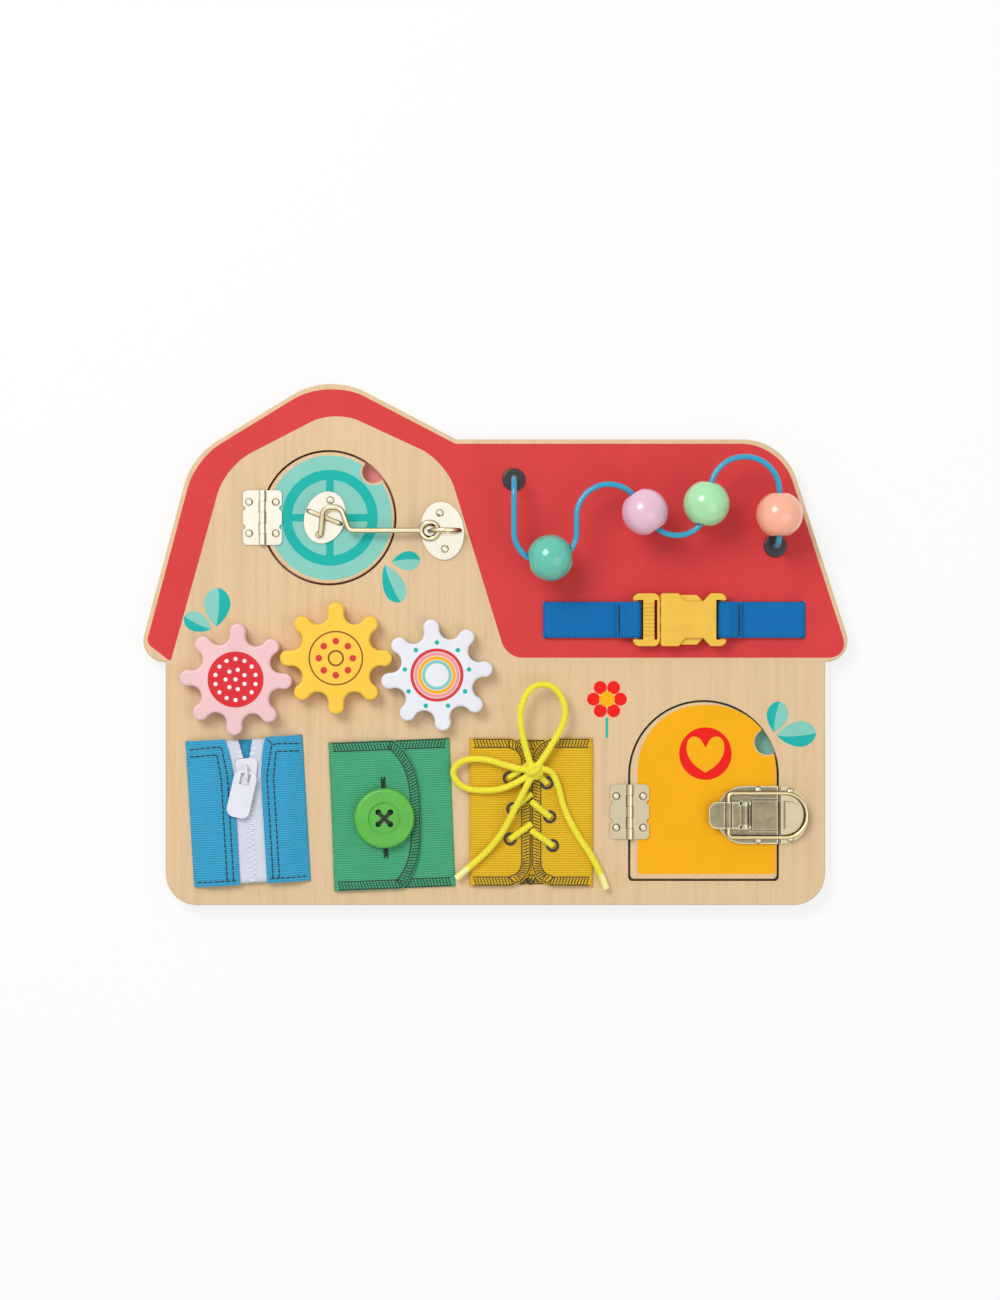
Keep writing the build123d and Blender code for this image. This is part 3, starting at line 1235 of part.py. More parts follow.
def lace_crossings():
    runs = []
    for x, y in eyelets(EYELET_LEFT_SHARES + EYELET_RIGHT_SHARES):
        turn_x = x * (1 - CROSSING_TURN_SHARE)
        turn_y = y + CROSSING_RISE * CROSSING_TURN_SHARE
        route = ((x, y, CROSSING_START), (turn_x, turn_y, CROSSING_TOP), (0, y + CROSSING_RISE, CROSSING_END))
        runs.append(lace_run("crossing", raised(route)))
    return lace_place() * group(runs)


def lace_loops():
    loops = [lace_run("loop top", raised(LOOP_TOP)), lace_run("loop left", raised(LOOP_LEFT))]
    return lace_place() * group(loops)


def lace_tails():
    tails = [lace_run("tail left", raised(TAIL_LEFT)), lace_run("tail right", raised(TAIL_RIGHT))]
    return lace_place() * group(tails)


def lace_knot():
    ball = scale(Sphere(KNOT_RADIUS), by=KNOT_SHAPE_SHARES)
    return Pos(KNOT_X, KNOT_Y, FACE + KNOT_RISE) * ball


# Straps and buckle

def strap(reach):
    wrap = BUCKLE_BAR_RADIUS + STRAP_WRAP_GAP + STRAP_THICKNESS / 2
    under = FACE + BUCKLE_BAR_HEIGHT - wrap
    over = FACE + BUCKLE_BAR_HEIGHT + wrap
    edge = STRAP_THICKNESS / 2
    low = BACK_THICKNESS + STRAP_THICKNESS / 2
    fold = reach - STRAP_STITCH_INSET
    lap = under + STRAP_THICKNESS + STRAP_LAP_GAP
    points = (
        (edge + TAIL_LENGTH, low),
        (edge, low),
        (edge, under),
        (reach + wrap, under),
        (reach + wrap, over),
        (reach - wrap, over),
        (fold, lap),
        (fold - STRAP_FOLD_END, lap),
    )
    bend = STRAP_THICKNESS
    turn = wrap - FIXED_FIT
    return strip(points, (bend, bend, turn, turn, bend, bend), STRAP_THICKNESS, STRAP_WIDTH)


def left_strap():
    return Pos(STRAP_LEFT_X, STRAP_Y, 0) * strap(BUCKLE_LEFT + BUCKLE_BAR_INSET - STRAP_LEFT_X)


def right_strap():
    reach = STRAP_RIGHT_X - BUCKLE_RIGHT + BUCKLE_BAR_INSET
    return Pos(STRAP_RIGHT_X, STRAP_Y, 0) * Rot(0, 0, HALF_TURN) * strap(reach)


def end_bar(x):
    bar = Rot(RIGHT_ANGLE, 0, 0) * Cylinder(BUCKLE_BAR_RADIUS, 2 * (BUCKLE_HALF_WIDTH - MALE_RAIL / 2))
    return Pos(x, STRAP_Y, FACE + BUCKLE_BAR_HEIGHT) * bar


def strap_gap(x, side, top):
    reach = BUCKLE_BAR_RADIUS + BUCKLE_SLOT_WIDTH
    width = 2 * (BUCKLE_HALF_WIDTH - MALE_RAIL)
    middle = x + side * (reach - BUCKLE_BAR_INSET) / 2
    return slab(middle, STRAP_Y, FACE, BUCKLE_BAR_INSET + reach, width, top)


def buckle_female():
    span = BUCKLE_RIGHT - BUCKLE_SPLIT
    upper = [(BUCKLE_SPLIT + share * span, wide * BUCKLE_HALF_WIDTH)
             for share, wide in zip(FEMALE_X_SHARES, FEMALE_Y_SHARES)]
    lower = [(x, -y) for x, y in reversed(upper)]
    shape = make_face(Polyline(*upper, *lower, close=True))
    ends = shape.vertices().group_by(Axis.X)[-1]
    others = [corner for corner in shape.vertices() if corner not in ends]
    shape = fillet(others, BUCKLE_ROUND)
    shape = fillet(shape.vertices().group_by(Axis.X)[-1], BUCKLE_CORNER_RADIUS)
    body = Pos(0, STRAP_Y, 0) * plate(shape, FACE + BUCKLE_BOTTOM, BUCKLE_TOP - BUCKLE_BOTTOM)
    body = fillet(body.faces().sort_by(Axis.Z)[-1].edges(), BUCKLE_ROUND / 2)
    middle = FACE + (BUCKLE_TOP + BUCKLE_BOTTOM) / 2
    hollow = Box(CAVITY_DEPTH, 2 * CAVITY_HALF_WIDTH, 2 * CAVITY_HALF_HEIGHT)
    body -= Pos(BUCKLE_SPLIT + CAVITY_DEPTH / 2, STRAP_Y, middle) * hollow
    start = BUCKLE_SPLIT + WINDOW_START_SHARE * span
    length = (WINDOW_END_SHARE - WINDOW_START_SHARE) * span
    side_window = Box(length, 2 * BUCKLE_HALF_WIDTH, 2 * CAVITY_HALF_HEIGHT)
    body -= Pos(start + length / 2, STRAP_Y, middle) * side_window
    bar_x = BUCKLE_RIGHT - BUCKLE_BAR_INSET
    body -= strap_gap(bar_x, -1, BUCKLE_TOP)
    return body + end_bar(bar_x)


def buckle_male():
    frame = BUCKLE_SPLIT - SIDE_GAP - BUCKLE_LEFT
    middle = FACE + (BUCKLE_TOP + BUCKLE_BOTTOM) / 2
    tall = MALE_TOP - MALE_BOTTOM
    low = FACE + MALE_BOTTOM
    width = 2 * BUCKLE_HALF_WIDTH
    body = rounded_slab(BUCKLE_LEFT + frame / 2, STRAP_Y, low, frame, width, tall, BUCKLE_CORNER_RADIUS)
    body = fillet(body.edges().group_by(Axis.Z)[-1], BUCKLE_ROUND / 2)
    bar_x = BUCKLE_LEFT + BUCKLE_BAR_INSET
    body -= strap_gap(bar_x, 1, BUCKLE_TOP)
    taken = BUCKLE_BAR_INSET + BUCKLE_BAR_RADIUS + BUCKLE_SLOT_WIDTH
    window = frame - taken - MALE_LADDER - MALE_SHOULDER
    if window > 0:
        window_x = BUCKLE_LEFT + frame - MALE_SHOULDER - window / 2
        body -= slab(window_x, STRAP_Y, FACE, window, 2 * (BUCKLE_HALF_WIDTH - MALE_RAIL), BUCKLE_TOP)
    ladder_x = BUCKLE_LEFT + taken + MALE_LADDER / 2
    for rung in range(LADDER_GROOVES):
        y = STRAP_Y + (rung - (LADDER_GROOVES - 1) / 2) * LADDER_GROOVE_SPACING
        z = low + tall - LADDER_GROOVE_DEPTH
        body -= slab(ladder_x, y, z, MALE_LADDER, LADDER_GROOVE_WIDTH, LADDER_GROOVE_DEPTH)
    body += end_bar(bar_x)
    root = BUCKLE_LEFT + frame - MALE_SHOULDER / 2
    reach = ARM_REACH + MALE_SHOULDER / 2
    tongue = TONGUE_REACH + MALE_SHOULDER / 2
    body += Pos(root + tongue / 2, STRAP_Y, middle) * Box(tongue, TONGUE_WIDTH, 2 * ARM_HALF_HEIGHT)
    barb = ARM_BARB_START + MALE_SHOULDER / 2
    full = ARM_BARB_FULL + MALE_SHOULDER / 2
    corners = ((0, ARM_INNER), (reach, ARM_INNER), (reach, ARM_OUTER), (full, ARM_BARB), (barb, ARM_BARB),
               (barb, ARM_OUTER), (0, ARM_OUTER))
    for side in (-1, 1):
        arm = make_face(Polyline(*[(x, side * y) for x, y in corners], close=True))
        bar = extrude(arm, amount=2 * ARM_HALF_HEIGHT, dir=(0, 0, 1))
        body += Pos(root, STRAP_Y, middle - ARM_HALF_HEIGHT) * bar
    return body


def pieces():
    made = {
        "front_board": front_board(),
        "back_board": back_board(),
        "back_screws": group([back_screw(x, y, 0) for x, y in back_screw_places()]),
        "hinge_fixed_leaves": hinge_fixed_leaves(),
        "hinge_pins": hinge_pins(),
        "board_screws": screws(board_screw_places()),
        "hook_eye_plate": eye_plate(),
        "hook_eye_staple": eye_staple(),
        "latch_strike": latch_strike(),
        "bead_wire": bead_wire(),
        "wire_grommets": wire_grommets(),
        "gear_washers": gear_washers(),
        "zip_backing": zip_backing(),
        "zip_cloth_left": zip_cloth(1),
        "zip_cloth_right": zip_cloth(-1),
        "zip_tapes": zip_tapes(),
        "zip_teeth": zip_teeth(),
        "button_base": button_base(),
        "button": button(),
        "button_thread": button_thread(),
        "lace_backing": lace_backing(),
        "lace_flap_left": lace_flap(-1, eyelets(EYELET_LEFT_SHARES)),
        "lace_flap_right": lace_flap(1, eyelets(EYELET_RIGHT_SHARES)),
        "lace_eyelets": lace_eyelets(),
        "lace_crossings": lace_crossings(),
        "lace_knot": lace_knot(),
        "lace_loops": lace_loops(),
        "lace_tails": lace_tails(),
        "strap_left": left_strap(),
        "strap_right": right_strap(),
        "buckle_female": buckle_female(),
        "buckle_male": buckle_male(),
        "window_disc": window_disc(),
        "window_hinge_leaf": window_leaf(),
        "hook_catch_plate": catch_plate(),
        "hook_catch_staple": catch_staple(),
        "window_screws": screws(window_screw_places()),
        "hook": hook(),
        "door_panel": door_panel(),
        "door_hinge_leaf": door_leaf(),
        "latch_base": latch_base(),
        "latch_pin": latch_pin(),
        "door_screws": screws(door_screw_places()),
        "latch_lever": latch_lever(),
        "latch_bail": latch_bail(),
        "gear_sun": gear("sun", SUN_PHASE),
        "gear_pink": gear("pink", PINK_PHASE),
        "gear_white": gear("white", WHITE_PHASE),
        "spindle_sun": spindle("sun"),
        "spindle_pink": spindle("pink"),
        "spindle_white": spindle("white"),
        "bead_teal": valley_bead(),
        "bead_pink": pink_bead(),
        "bead_green": green_bead(),
        "bead_peach": peach_bead(),
        "zip_slider": zip_slider(),
        "zip_pull": zip_pull(),
        "button_flap": button_flap(),
    }
    return made


os.makedirs("parts", exist_ok=True)
for name, piece in pieces().items():
    export_step(piece, os.path.join("parts", name + ".step"))
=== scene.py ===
import math

import bmesh
import bpy
import numpy as np
from mathutils import Matrix, Vector
from mathutils.bvhtree import BVHTree


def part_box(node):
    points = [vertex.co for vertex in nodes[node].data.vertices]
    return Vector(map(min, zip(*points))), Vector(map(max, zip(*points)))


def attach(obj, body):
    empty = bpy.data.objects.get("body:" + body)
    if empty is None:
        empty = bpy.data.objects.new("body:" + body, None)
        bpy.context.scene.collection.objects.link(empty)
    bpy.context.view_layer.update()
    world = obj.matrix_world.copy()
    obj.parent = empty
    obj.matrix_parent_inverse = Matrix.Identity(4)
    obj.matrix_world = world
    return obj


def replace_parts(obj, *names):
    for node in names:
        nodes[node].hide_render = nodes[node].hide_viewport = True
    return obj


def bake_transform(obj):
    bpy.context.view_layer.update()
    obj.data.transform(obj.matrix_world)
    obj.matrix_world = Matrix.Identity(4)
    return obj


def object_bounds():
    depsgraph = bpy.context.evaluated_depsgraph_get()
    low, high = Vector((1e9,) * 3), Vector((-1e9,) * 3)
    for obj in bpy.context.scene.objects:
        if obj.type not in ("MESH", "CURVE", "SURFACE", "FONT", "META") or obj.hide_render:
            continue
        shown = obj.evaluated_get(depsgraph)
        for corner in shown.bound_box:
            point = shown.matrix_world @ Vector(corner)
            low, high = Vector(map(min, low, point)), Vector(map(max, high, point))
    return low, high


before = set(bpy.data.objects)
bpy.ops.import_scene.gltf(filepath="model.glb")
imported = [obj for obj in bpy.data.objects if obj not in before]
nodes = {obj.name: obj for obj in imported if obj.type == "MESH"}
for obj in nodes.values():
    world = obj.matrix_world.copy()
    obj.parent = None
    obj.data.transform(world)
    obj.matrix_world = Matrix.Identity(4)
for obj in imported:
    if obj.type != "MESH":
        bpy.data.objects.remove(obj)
cad_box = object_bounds()

# Sizes and places are in millimetres, in the part's frame
MM = 0.001
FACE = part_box("front_board")[1][2] / MM
BACK_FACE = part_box("back_board")[1][2] / MM
GEAR_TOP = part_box("gear_sun")[1][2] / MM
WINDOW_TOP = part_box("window_disc")[1][2] / MM
DOOR_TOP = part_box("door_panel")[1][2] / MM

# Camera, straight above the board as in the photograph
CAMERA_X = 2.6
CAMERA_Y = -3.1
CAMERA_HEIGHT = 1600.0
CAMERA_LENS = 78.05
CAMERA_SENSOR = 36.0

# Floor, sky and lamps, each lamp as its place, width and power in watts
FLOOR_HALF = 4000.0
FLOOR_GAP = 0.2
FLOOR_GLOW_SHARE = 0.75
SKY_LIGHT = 0.55
KEY_LAMP = ((-700.0, 800.0, 1500.0), 800.0, 16.0)
FILL_LAMP = ((900.0, -500.0, 1400.0), 1200.0, 5.0)

# Printed layers. Corners are x, y and the reach of their rounding
FILM = 0.06
CUT_HEIGHT = 60.0
ROOF_PRINT = (
    (-198.1, 0.9, 3.0), (-170.4, 105.17, 16.2), (-94.8, 151.5, 22.9), (-22.75, 114.0),
    (161.84, 114.0, 21.5), (201.08, -7.5, 12.0), (6.3, -7.5, 9.0), (-28.0, 104.2, 16.0),
    (-91.2, 133.4, 15.0), (-153.4, 101.2, 16.0), (-184.4, -9.7, 2.0),
)
STRAP_SLOTS = (28.5, 174.4)
STRAP_Y = 14.0
SLOT_SIZE = (2.6, 21.0)
WINDOW_PRINT_RADIUS = 35.3
WINDOW_PRINT_SHIFT = 0.6
WINDOW_RING = (27.2, 21.5)
WINDOW_BAR = 4.3
WINDOW_BACK_RADIUS = 38.0
# Finger notches as reach from the middle, direction in degrees and radius
WINDOW_NOTCH = (36.4, 45.6, 7.6)
DOOR_NOTCH = (41.0, 27.5, 8.0)
# Door prints as left, right, bottom and top
DOOR_PRINT = (80.7, 159.3, -130.3, -34.3)
DOOR_CORNER = 1.5
DOOR_ARCH = 37.0
DOOR_CENTRE = (118.15, -74.3)
DOOR_BACK = (76.0, 160.5, -133.5, -32.2)
DOOR_BACK_ARCH = 41.0
HEART_DISC = (119.2, -61.9, 14.9)
HEART_HALF = ((7.6, -5.8, 4.2), (11.4, 2.0, 3.8), (9.4, 9.6, 2.9), (3.4, 9.7, 2.9))
HEART = ((0, -10.9, 0.6), *HEART_HALF, (0, 3.2),
         *((-x, y, reach) for x, y, reach in reversed(HEART_HALF)))
# Each leaf as stem x, y, direction in degrees, length, width and the side of its dark half
LEAVES = (
    (-158.6, 9.9, 87.0, 22.4, 15.0, -1), (-161.2, 8.6, 154.0, 17.2, 11.0, 1),
    (-59.0, 46.9, 4.0, 16.4, 11.0, 1), (-62.9, 45.5, -67.0, 23.4, 12.5, -1),
    (158.1, -50.0, 79.0, 18.0, 12.2, 1), (159.5, -51.7, 4.0, 22.6, 14.6, -1),
)
# Corners of half a leaf as shares of its length or width
LEAF_VEIN_SHARES = (0.56, 0.14, 0.42)
LEAF_TIP_SHARES = (0.96, 0.55)
LEAF_FOOT_SHARES = (0.34, 0.3)
FLOWER = (63.3, -31.0)
FLOWER_MIDDLE = 4.4
STEM_HALF = 0.7
STEM_DROP = (22.0, 10.4)
# Rings of dots as count, reach from the middle, dot radius and first dot's share of a step
PETALS = (6, 7.6, 3.7, 0.0)
PINK_GEAR_DISC = 15.8
PINK_GEAR_DOTS = ((1, 0.0, 1.15, 0.5), (7, 5.6, 1.15, 0.5), (14, 11.6, 1.15, 0.5))
SUN_GEAR_RINGS = ((4.6, 3.6), (15.4, 14.6))
SUN_GEAR_DOTS = (8, 9.6, 1.9, 0.0)
WHITE_GEAR_RINGS = {"red": (15.0, 13.2), "pink": (12.8, 11.0), "yellow": (10.6, 8.8), "teal": (8.4, 6.6)}
WHITE_GEAR_DOTS = (9, 18.4, 1.3, 0.25)

# Cloth panels as middle x, y and tilt in degrees
CLOTH = 1.0
BACKING_CLOTH = 0.8
TAPE_CLOTH = 0.6
ZIP_PANEL = (-140.3, -94.4, 3.4)
ZIP_SIZE = (64.5, 81.0)
ZIP_BACKING = (48.5, 81.0)
BUTTON_PANEL = (-58.7, -96.4, 2.3)
BUTTON_SIZE = (67.0, 82.5)
LACE_PANEL = (20.3, -95.0, 0.0)
LACE_SIZE = (68.5, 82.0)
LACE_BACKING = (48.0, 82.0)
BACKING_RISE = 0.4
SLOT_EDGE = 0.5
SLOT_LEAN = (-0.5, -0.6)
SLOT_FOLD = (-1.3, 0.7)
SLOT_LIP = 0.6
EDGE_GROWTH = 0.9
GROWTH_DEPTH = 0.2
TAIL = (9.0, -8.0)
# Puckers start a little way from the slot and are two crossed waves, down and over the cloth
PUCKER_START = 4.0
PUCKER_WAVES = ((7.3, 19.0), (31.0, 11.0))
ZIP_PUCKER = 0.22
BASE_PUCKER = 0.05
FLAP_PUCKER = 0.12
LACE_PUCKER = 0.12
ZIP_RISES = (1.4, 4.0)
ZIP_RAMP = 9.0
ZIP_REACHES = (25.05, 23.05)
ZIP_FLARE = 3.6
ZIP_FLARE_FROM = 14.0
ZIP_FLARE_RUN = 26.5
ZIP_SEAMS = (
    ((-31.0, 36.6), (-12.6, 37.4), (-10.2, 20.0), (-10.2, -39.6)),
    ((-31.0, 32.4), (-15.4, 33.0), (-13.8, 18.0), (-13.8, -39.6)),
    ((31.0, 36.6), (16.0, 37.4), (12.2, 20.0), (12.2, -39.6)),
    ((31.0, 32.4), (18.0, 33.0), (15.8, 18.0), (15.8, -39.6)),
    ((-31.0, -38.8), (-8.0, -38.8)), ((31.0, -38.8), (10.0, -38.8)), ((13.6, 40.0), (16.0, 37.4)),
)
ZIP_STITCH = (2.6, 0.6)
ZIP_STITCH_RADIUS = 0.4
TAPE_EDGE = 0.1
TAPE_WIDTH = 14.0
TAPE_RISE = 3.0
TAPE_SPREAD = 3.8
TAPE_SPREAD_START = 22.0
ZIP_AXIS = 1.0
BUTTON_BASE_REACH = 52.0
BUTTON_BASE_RISE = 0.65
FLAP_RISE = 2.3
FLAP_EDGE_Y = (41.25, 31.35, 16.5, 1.65, -18.15, -33.0, -41.25)
FLAP_EDGE_X = (3.5, 11.3, 15.5, 16.3, 15.2, 10.7, 4.7)
FLAP_EDGE = np.polyfit(FLAP_EDGE_Y, FLAP_EDGE_X, 4)
BUTTON = (-62.8, -98.2)
BUTTON_HOLE = 3.4
BUTTON_THREAD_RADIUS = 0.42
THREAD_RISES = (-1.0, -0.4)
THREAD_STEP = 0.6
THREAD_DIP = 2.6
THREAD_REACH_SHARES = (1.4, 1.3)
SLIT_HALF = 22.0
SLIT_WIDTH = 0.8
SLIT_EYE = 2.6
SLIT_STITCH = (0.45, 0.8)
SLIT_SLANT = 0.3
SLIT_PITCH = 0.6
SLIT_OVERRUN = 0.8
STITCH_RADIUS = 0.32
STITCH_RISE_SHARE = 0.4
STITCH_END_SHARE = 0.6
STITCH_DROP = 40.0
OVERLOCK_EDGE = 0.5
OVERLOCK_DEPTH = 5.2
OVERLOCK_PITCH = 1.75
SEAM_LOOK = 0.4
SEAM_END = 1.5
BASE_UNDERLAP = 4.0
BACKING_SEAM_HALF = 22.0
LACE_RISE = 2.0
SEAM_GAP = 0.2
CORNER_BITE = (11.0, 13.0)
# Tangle of thread at the foot of the laced seam
SEAM_FOOT = (-5.6, -39.6)
SEAM_LOOPS = 5
SEAM_LOOP = (1.5, 1.8)
SEAM_STEP = 0.26
SEAM_DRIFT = 1.3

# Lace routes from the middle of the panel, as x, y and height over the face
LACE_RADIUS = 1.85
LOOP_TOP = ((0.1, 26.0, 7.2), (-4.7, 40.0, 9.0), (-7.1, 59.0, 11.5), (0.2, 72.7, 11.0),
            (13.2, 72.4, 9.5), (20.9, 58.0, 10.0), (14.3, 41.6, 8.6), (3.1, 25.8, 7.2))
LOOP_LEFT = ((-0.3, 23.6, 7.4), (-11.7, 25.6, 7.6), (-25.3, 30.6, 6.6), (-39.9, 30.0, 5.6),
             (-45.7, 22.4, 5.0), (-39.1, 13.4, 4.8), (-24.7, 12.0, 5.0), (-11.7, 14.4, 6.8),
             (0.1, 22.0, 7.2))
TAIL_LEFT = ((0.3, 20.6, 7.2), (-5.5, 9.8, 8.6), (-10.7, -0.8, 8.6), (-17.9, -14.0, 5.2),
             (-27.5, -24.8, 4.7), (-42.5, -37.3, 4.2))
TAIL_RIGHT = ((2.7, 24.6, 7.2), (10.3, 25.4, 6.8), (15.3, 16.0, 5.0), (18.1, 2.6, 4.8),
              (26.1, -13.0, 4.8), (36.7, -28.0, 4.4), (42.7, -43.4, 3.6))
EYELETS = ((-12.5, 19.4), (-10.5, 1.9), (-11.9, -15.2), (8.9, 16.5), (10.5, -2.6), (12.1, -18.9))
KNOT = (1.6, 23.4, 6.6)
KNOT_SIZE = (5.4, 5.0, 3.9)
KNOT_WRAP = ((-2.2, 21.4, 5.4), (-1.2, 22.4, 11.0), (3.4, 24.0, 11.4), (5.4, 26.2, 5.6))
# A crossing rises from its eyelet, bends at a share of the way to the seam and ends under it
CROSSING_HEIGHTS = (2.6, 5.0, 3.6)
CROSSING_CLIMB = (5.33, 8.6)
CROSSING_BEND_SHARE = 0.38
TIP_LENGTH = 9.0
TIP_WALL = 0.05

# Reach of the painted highlight on the latch's rims
RIM_HIGHLIGHT_REACH = 1.5

# Webbing straps
STRAP_WIDTH = 20.4
STRAP_THICK = 1.4
STRAP_TAIL = ((9.0, -8.3), (0.3, -8.3), (-0.5, -1.0), (-0.9, 0.6))
STRAP_EXIT = (1.0, 1.7)
STRAP_RETURN = 3.0
STRAP_BARS = (79.6, 128.6)
BAR_RISE = 4.3
WRAP_RADIUS = 2.6
STRAP_LAP = (9.5, 1.6, 3.3)
STRAP_STITCH = (1.9, 0.3)
STRAP_STITCH_RADIUS = 0.5
STRAP_SEAM_END = 1.5


def rgb(code):
    """Linear colour of a hex code."""
    parts = [int(code[i:i + 2], 16) / 255 for i in (0, 2, 4)]
    return (*[p / 12.92 if p <= 0.04045 else ((p + 0.055) / 1.055) ** 2.4 for p in parts], 1.0)


# Materials

def node(tree, kind, inputs=None, **settings):
    made = tree.nodes.new("ShaderNode" + kind)
    for name, value in settings.items():
        setattr(made, name, value)
    for key, value in (inputs or {}).items():
        if isinstance(value, bpy.types.NodeSocket):
            tree.links.new(value, made.inputs[key])
        else:
            made.inputs[key].default_value = value
    return made


def new_material(name, roughness, **constants):
    made = bpy.data.materials.new(name)
    made.use_nodes = True
    shader = made.node_tree.nodes["Principled BSDF"]
    shader.inputs["Roughness"].default_value = roughness
    for socket, value in constants.items():
        shader.inputs[socket.replace("_", " ")].default_value = value
    return made, made.node_tree, shader


def place_of(tree, output="Object"):
    return node(tree, "TexCoord").outputs[output]


def noise(tree, place, stretch, detail=3.0):
    mapped = node(tree, "Mapping", {"Vector": place, "Scale": stretch})
    cloud = {"Vector": mapped.outputs[0], "Scale": 1.0, "Detail": detail}
    return node(tree, "TexNoise", cloud).outputs[0]


def ramp(tree, factor, stops, interpolation="LINEAR"):
    made = node(tree, "ValToRGB", {"Fac": factor})
    made.color_ramp.interpolation = interpolation
    elements = made.color_ramp.elements
    while len(elements) < len(stops):
        elements.new(0.5)
    for element, (position, colour) in zip(elements, stops):
        element.position = position
        element.color = colour
    return made.outputs[0]


def maths(tree, operation, a, b=0.0, c=0.0):
    return node(tree, "Math", {0: a, 1: b, 2: c}, operation=operation).outputs[0]


def split(tree, place):
    """The x, y and z of a place."""
    return node(tree, "SeparateXYZ", {0: place}).outputs


def grey(share):
    return (share, share, share, 1.0)


def crossed(tree, along, across):
    """Heights of two sets of strands that cross each other."""
    first = maths(tree, "ABSOLUTE", maths(tree, "SINE", maths(tree, "ADD", along, across)))
    second = maths(tree, "ABSOLUTE", maths(tree, "SINE", maths(tree, "SUBTRACT", along, across)))
    return maths(tree, "MULTIPLY", first, second)


def mix(tree, factor, first, second, blend="MIX"):
    colours = {"Fac": factor, "Color1": first, "Color2": second}
    return node(tree, "MixRGB", colours, blend_type=blend).outputs[0]


def bump(tree, shader, height, depth):
    made = node(tree, "Bump", {"Height": height, "Distance": depth * MM, "Strength": 1.0})
    tree.links.new(made.outputs[0], shader.inputs["Normal"])


def colour(tree, shader, socket):
    tree.links.new(socket, shader.inputs["Base Color"])


def shade(code, share):
    """The colour of a hex code, lighter or darker by a share."""
    return (*[min(1.0, c * share) for c in rgb(code)[:3]], 1.0)


def plywood(name, code, layer_height):
    """Pale veneer with its grain along Y, and layers on cut edges."""
    made, tree, shader = new_material(name, 0.5, Specular_IOR_Level=0.25)
    place = place_of(tree)
    streak = noise(tree, place, (240.0, 7.0, 240.0), 4.0)
    pores = noise(tree, place, (1800.0, 50.0, 1800.0), 2.0)
    veneer = ramp(tree, streak, ((0.28, shade(code, 0.92)), (0.5, rgb(code)), (0.74, shade(code, 1.04))))
    dots = ramp(tree, pores, ((0.3, (0.86, 0.8, 0.72, 1.0)), (0.42, grey(1.0))))
    veneer = mix(tree, 0.55, veneer, dots, "MULTIPLY")
    step = maths(tree, "FRACT", maths(tree, "MULTIPLY", split(tree, place)[2], 1 / (layer_height * MM)))
    layers = ((0.0, shade(code, 0.62)), (0.08, shade(code, 0.8)), (0.5, shade(code, 1.0)))
    plies = mix(tree, 0.4, ramp(tree, step, layers, "CONSTANT"), dots, "MULTIPLY")
    up = split(tree, place_of(tree, "Normal"))[2]
    face = maths(tree, "GREATER_THAN", maths(tree, "ABSOLUTE", up), 0.6)
    colour(tree, shader, mix(tree, face, plies, veneer))
    bump(tree, shader, pores, 0.05)
    return made


def paint(name, code, roughness=0.36, grain=0.03, gloss=0.45):
    """Satin paint that shows a little of the wood below."""
    made, tree, shader = new_material(name, roughness, Specular_IOR_Level=gloss)
    place = place_of(tree)
    cloud = noise(tree, place, (45.0, 30.0, 45.0))
    colour(tree, shader, ramp(tree, cloud, ((0.3, shade(code, 0.96)), (0.7, shade(code, 1.03)))))
    bump(tree, shader, noise(tree, place, (1200.0, 70.0, 1200.0), 2.0), grain)
    return made


def plastic(name, code, roughness, coat=0.3, cloud_share=0.05):
    made, tree, shader = new_material(name, roughness, Coat_Weight=coat, Coat_Roughness=0.08)
    place = place_of(tree)
    cloud = noise(tree, place, (90.0, 90.0, 90.0))
    tones = ((0.3, shade(code, 1 - cloud_share)), (0.7, shade(code, 1 + cloud_share)))
    colour(tree, shader, ramp(tree, cloud, tones))
    bump(tree, shader, noise(tree, place, (700.0, 700.0, 700.0), 2.0), 0.012)
    return made


def metal(name, upper_reflection_code, lower_reflection_code, side_dark_reflection_code, roughness, speckle=0.08, rim_highlight_code=None):
    """Plated metal with painted reflection: paler high on the board than low on it, painted dark reflection
    on its sides, and painted highlights on its rims where a colour for them is given.
    """
    made, tree, shader = new_material(name, roughness, Metallic=1.0)
    place = place_of(tree)
    broad = noise(tree, place, (160.0, 160.0, 160.0))
    cloud = mix(tree, 0.5, broad, noise(tree, place, (1400.0, 1400.0, 1400.0)))
    grain = ramp(tree, cloud, ((0.35, grey(1 - speckle)), (0.65, grey(1.0))))
    # Painted reflection: the tone runs from paler high on the board to darker low on it
    height = maths(tree, "MULTIPLY_ADD", split(tree, place)[1], 7.0, 0.55)
    tone = ramp(tree, height, ((0.0, rgb(lower_reflection_code)), (1.0, rgb(upper_reflection_code))))
    # Painted dark reflection on the sides, darker where the surface turns away from facing up
    up = maths(tree, "ABSOLUTE", split(tree, place_of(tree, "Normal"))[2])
    level = ramp(tree, up, ((0.25, grey(0.0)), (0.95, grey(1.0))))
    tone = mix(tree, 1.0, mix(tree, level, rgb(side_dark_reflection_code), tone), grain, "MULTIPLY")
    # Painted highlight on the rims, where the rounded normal parts from the true one
    if rim_highlight_code:
        rounded = node(tree, "Bevel", {"Radius": RIM_HIGHLIGHT_REACH * MM}, samples=4).outputs[0]
        straight = node(tree, "NewGeometry").outputs["Normal"]
        alike = node(tree, "VectorMath", {0: rounded, 1: straight}, operation="DOT_PRODUCT").outputs["Value"]
        rim = ramp(tree, alike, ((0.82, grey(1.0)), (0.99, grey(0.0))))
        tone = mix(tree, maths(tree, "MULTIPLY", rim, level), tone, rgb(rim_highlight_code))
    colour(tree, shader, tone)
    brushed = noise(tree, place, (300.0, 2600.0, 300.0), 2.0)
    polish = maths(tree, "MULTIPLY_ADD", brushed, 0.12, roughness - 0.06)
    tree.links.new(polish, shader.inputs["Roughness"])
    bump(tree, shader, brushed, 0.006)
    return made


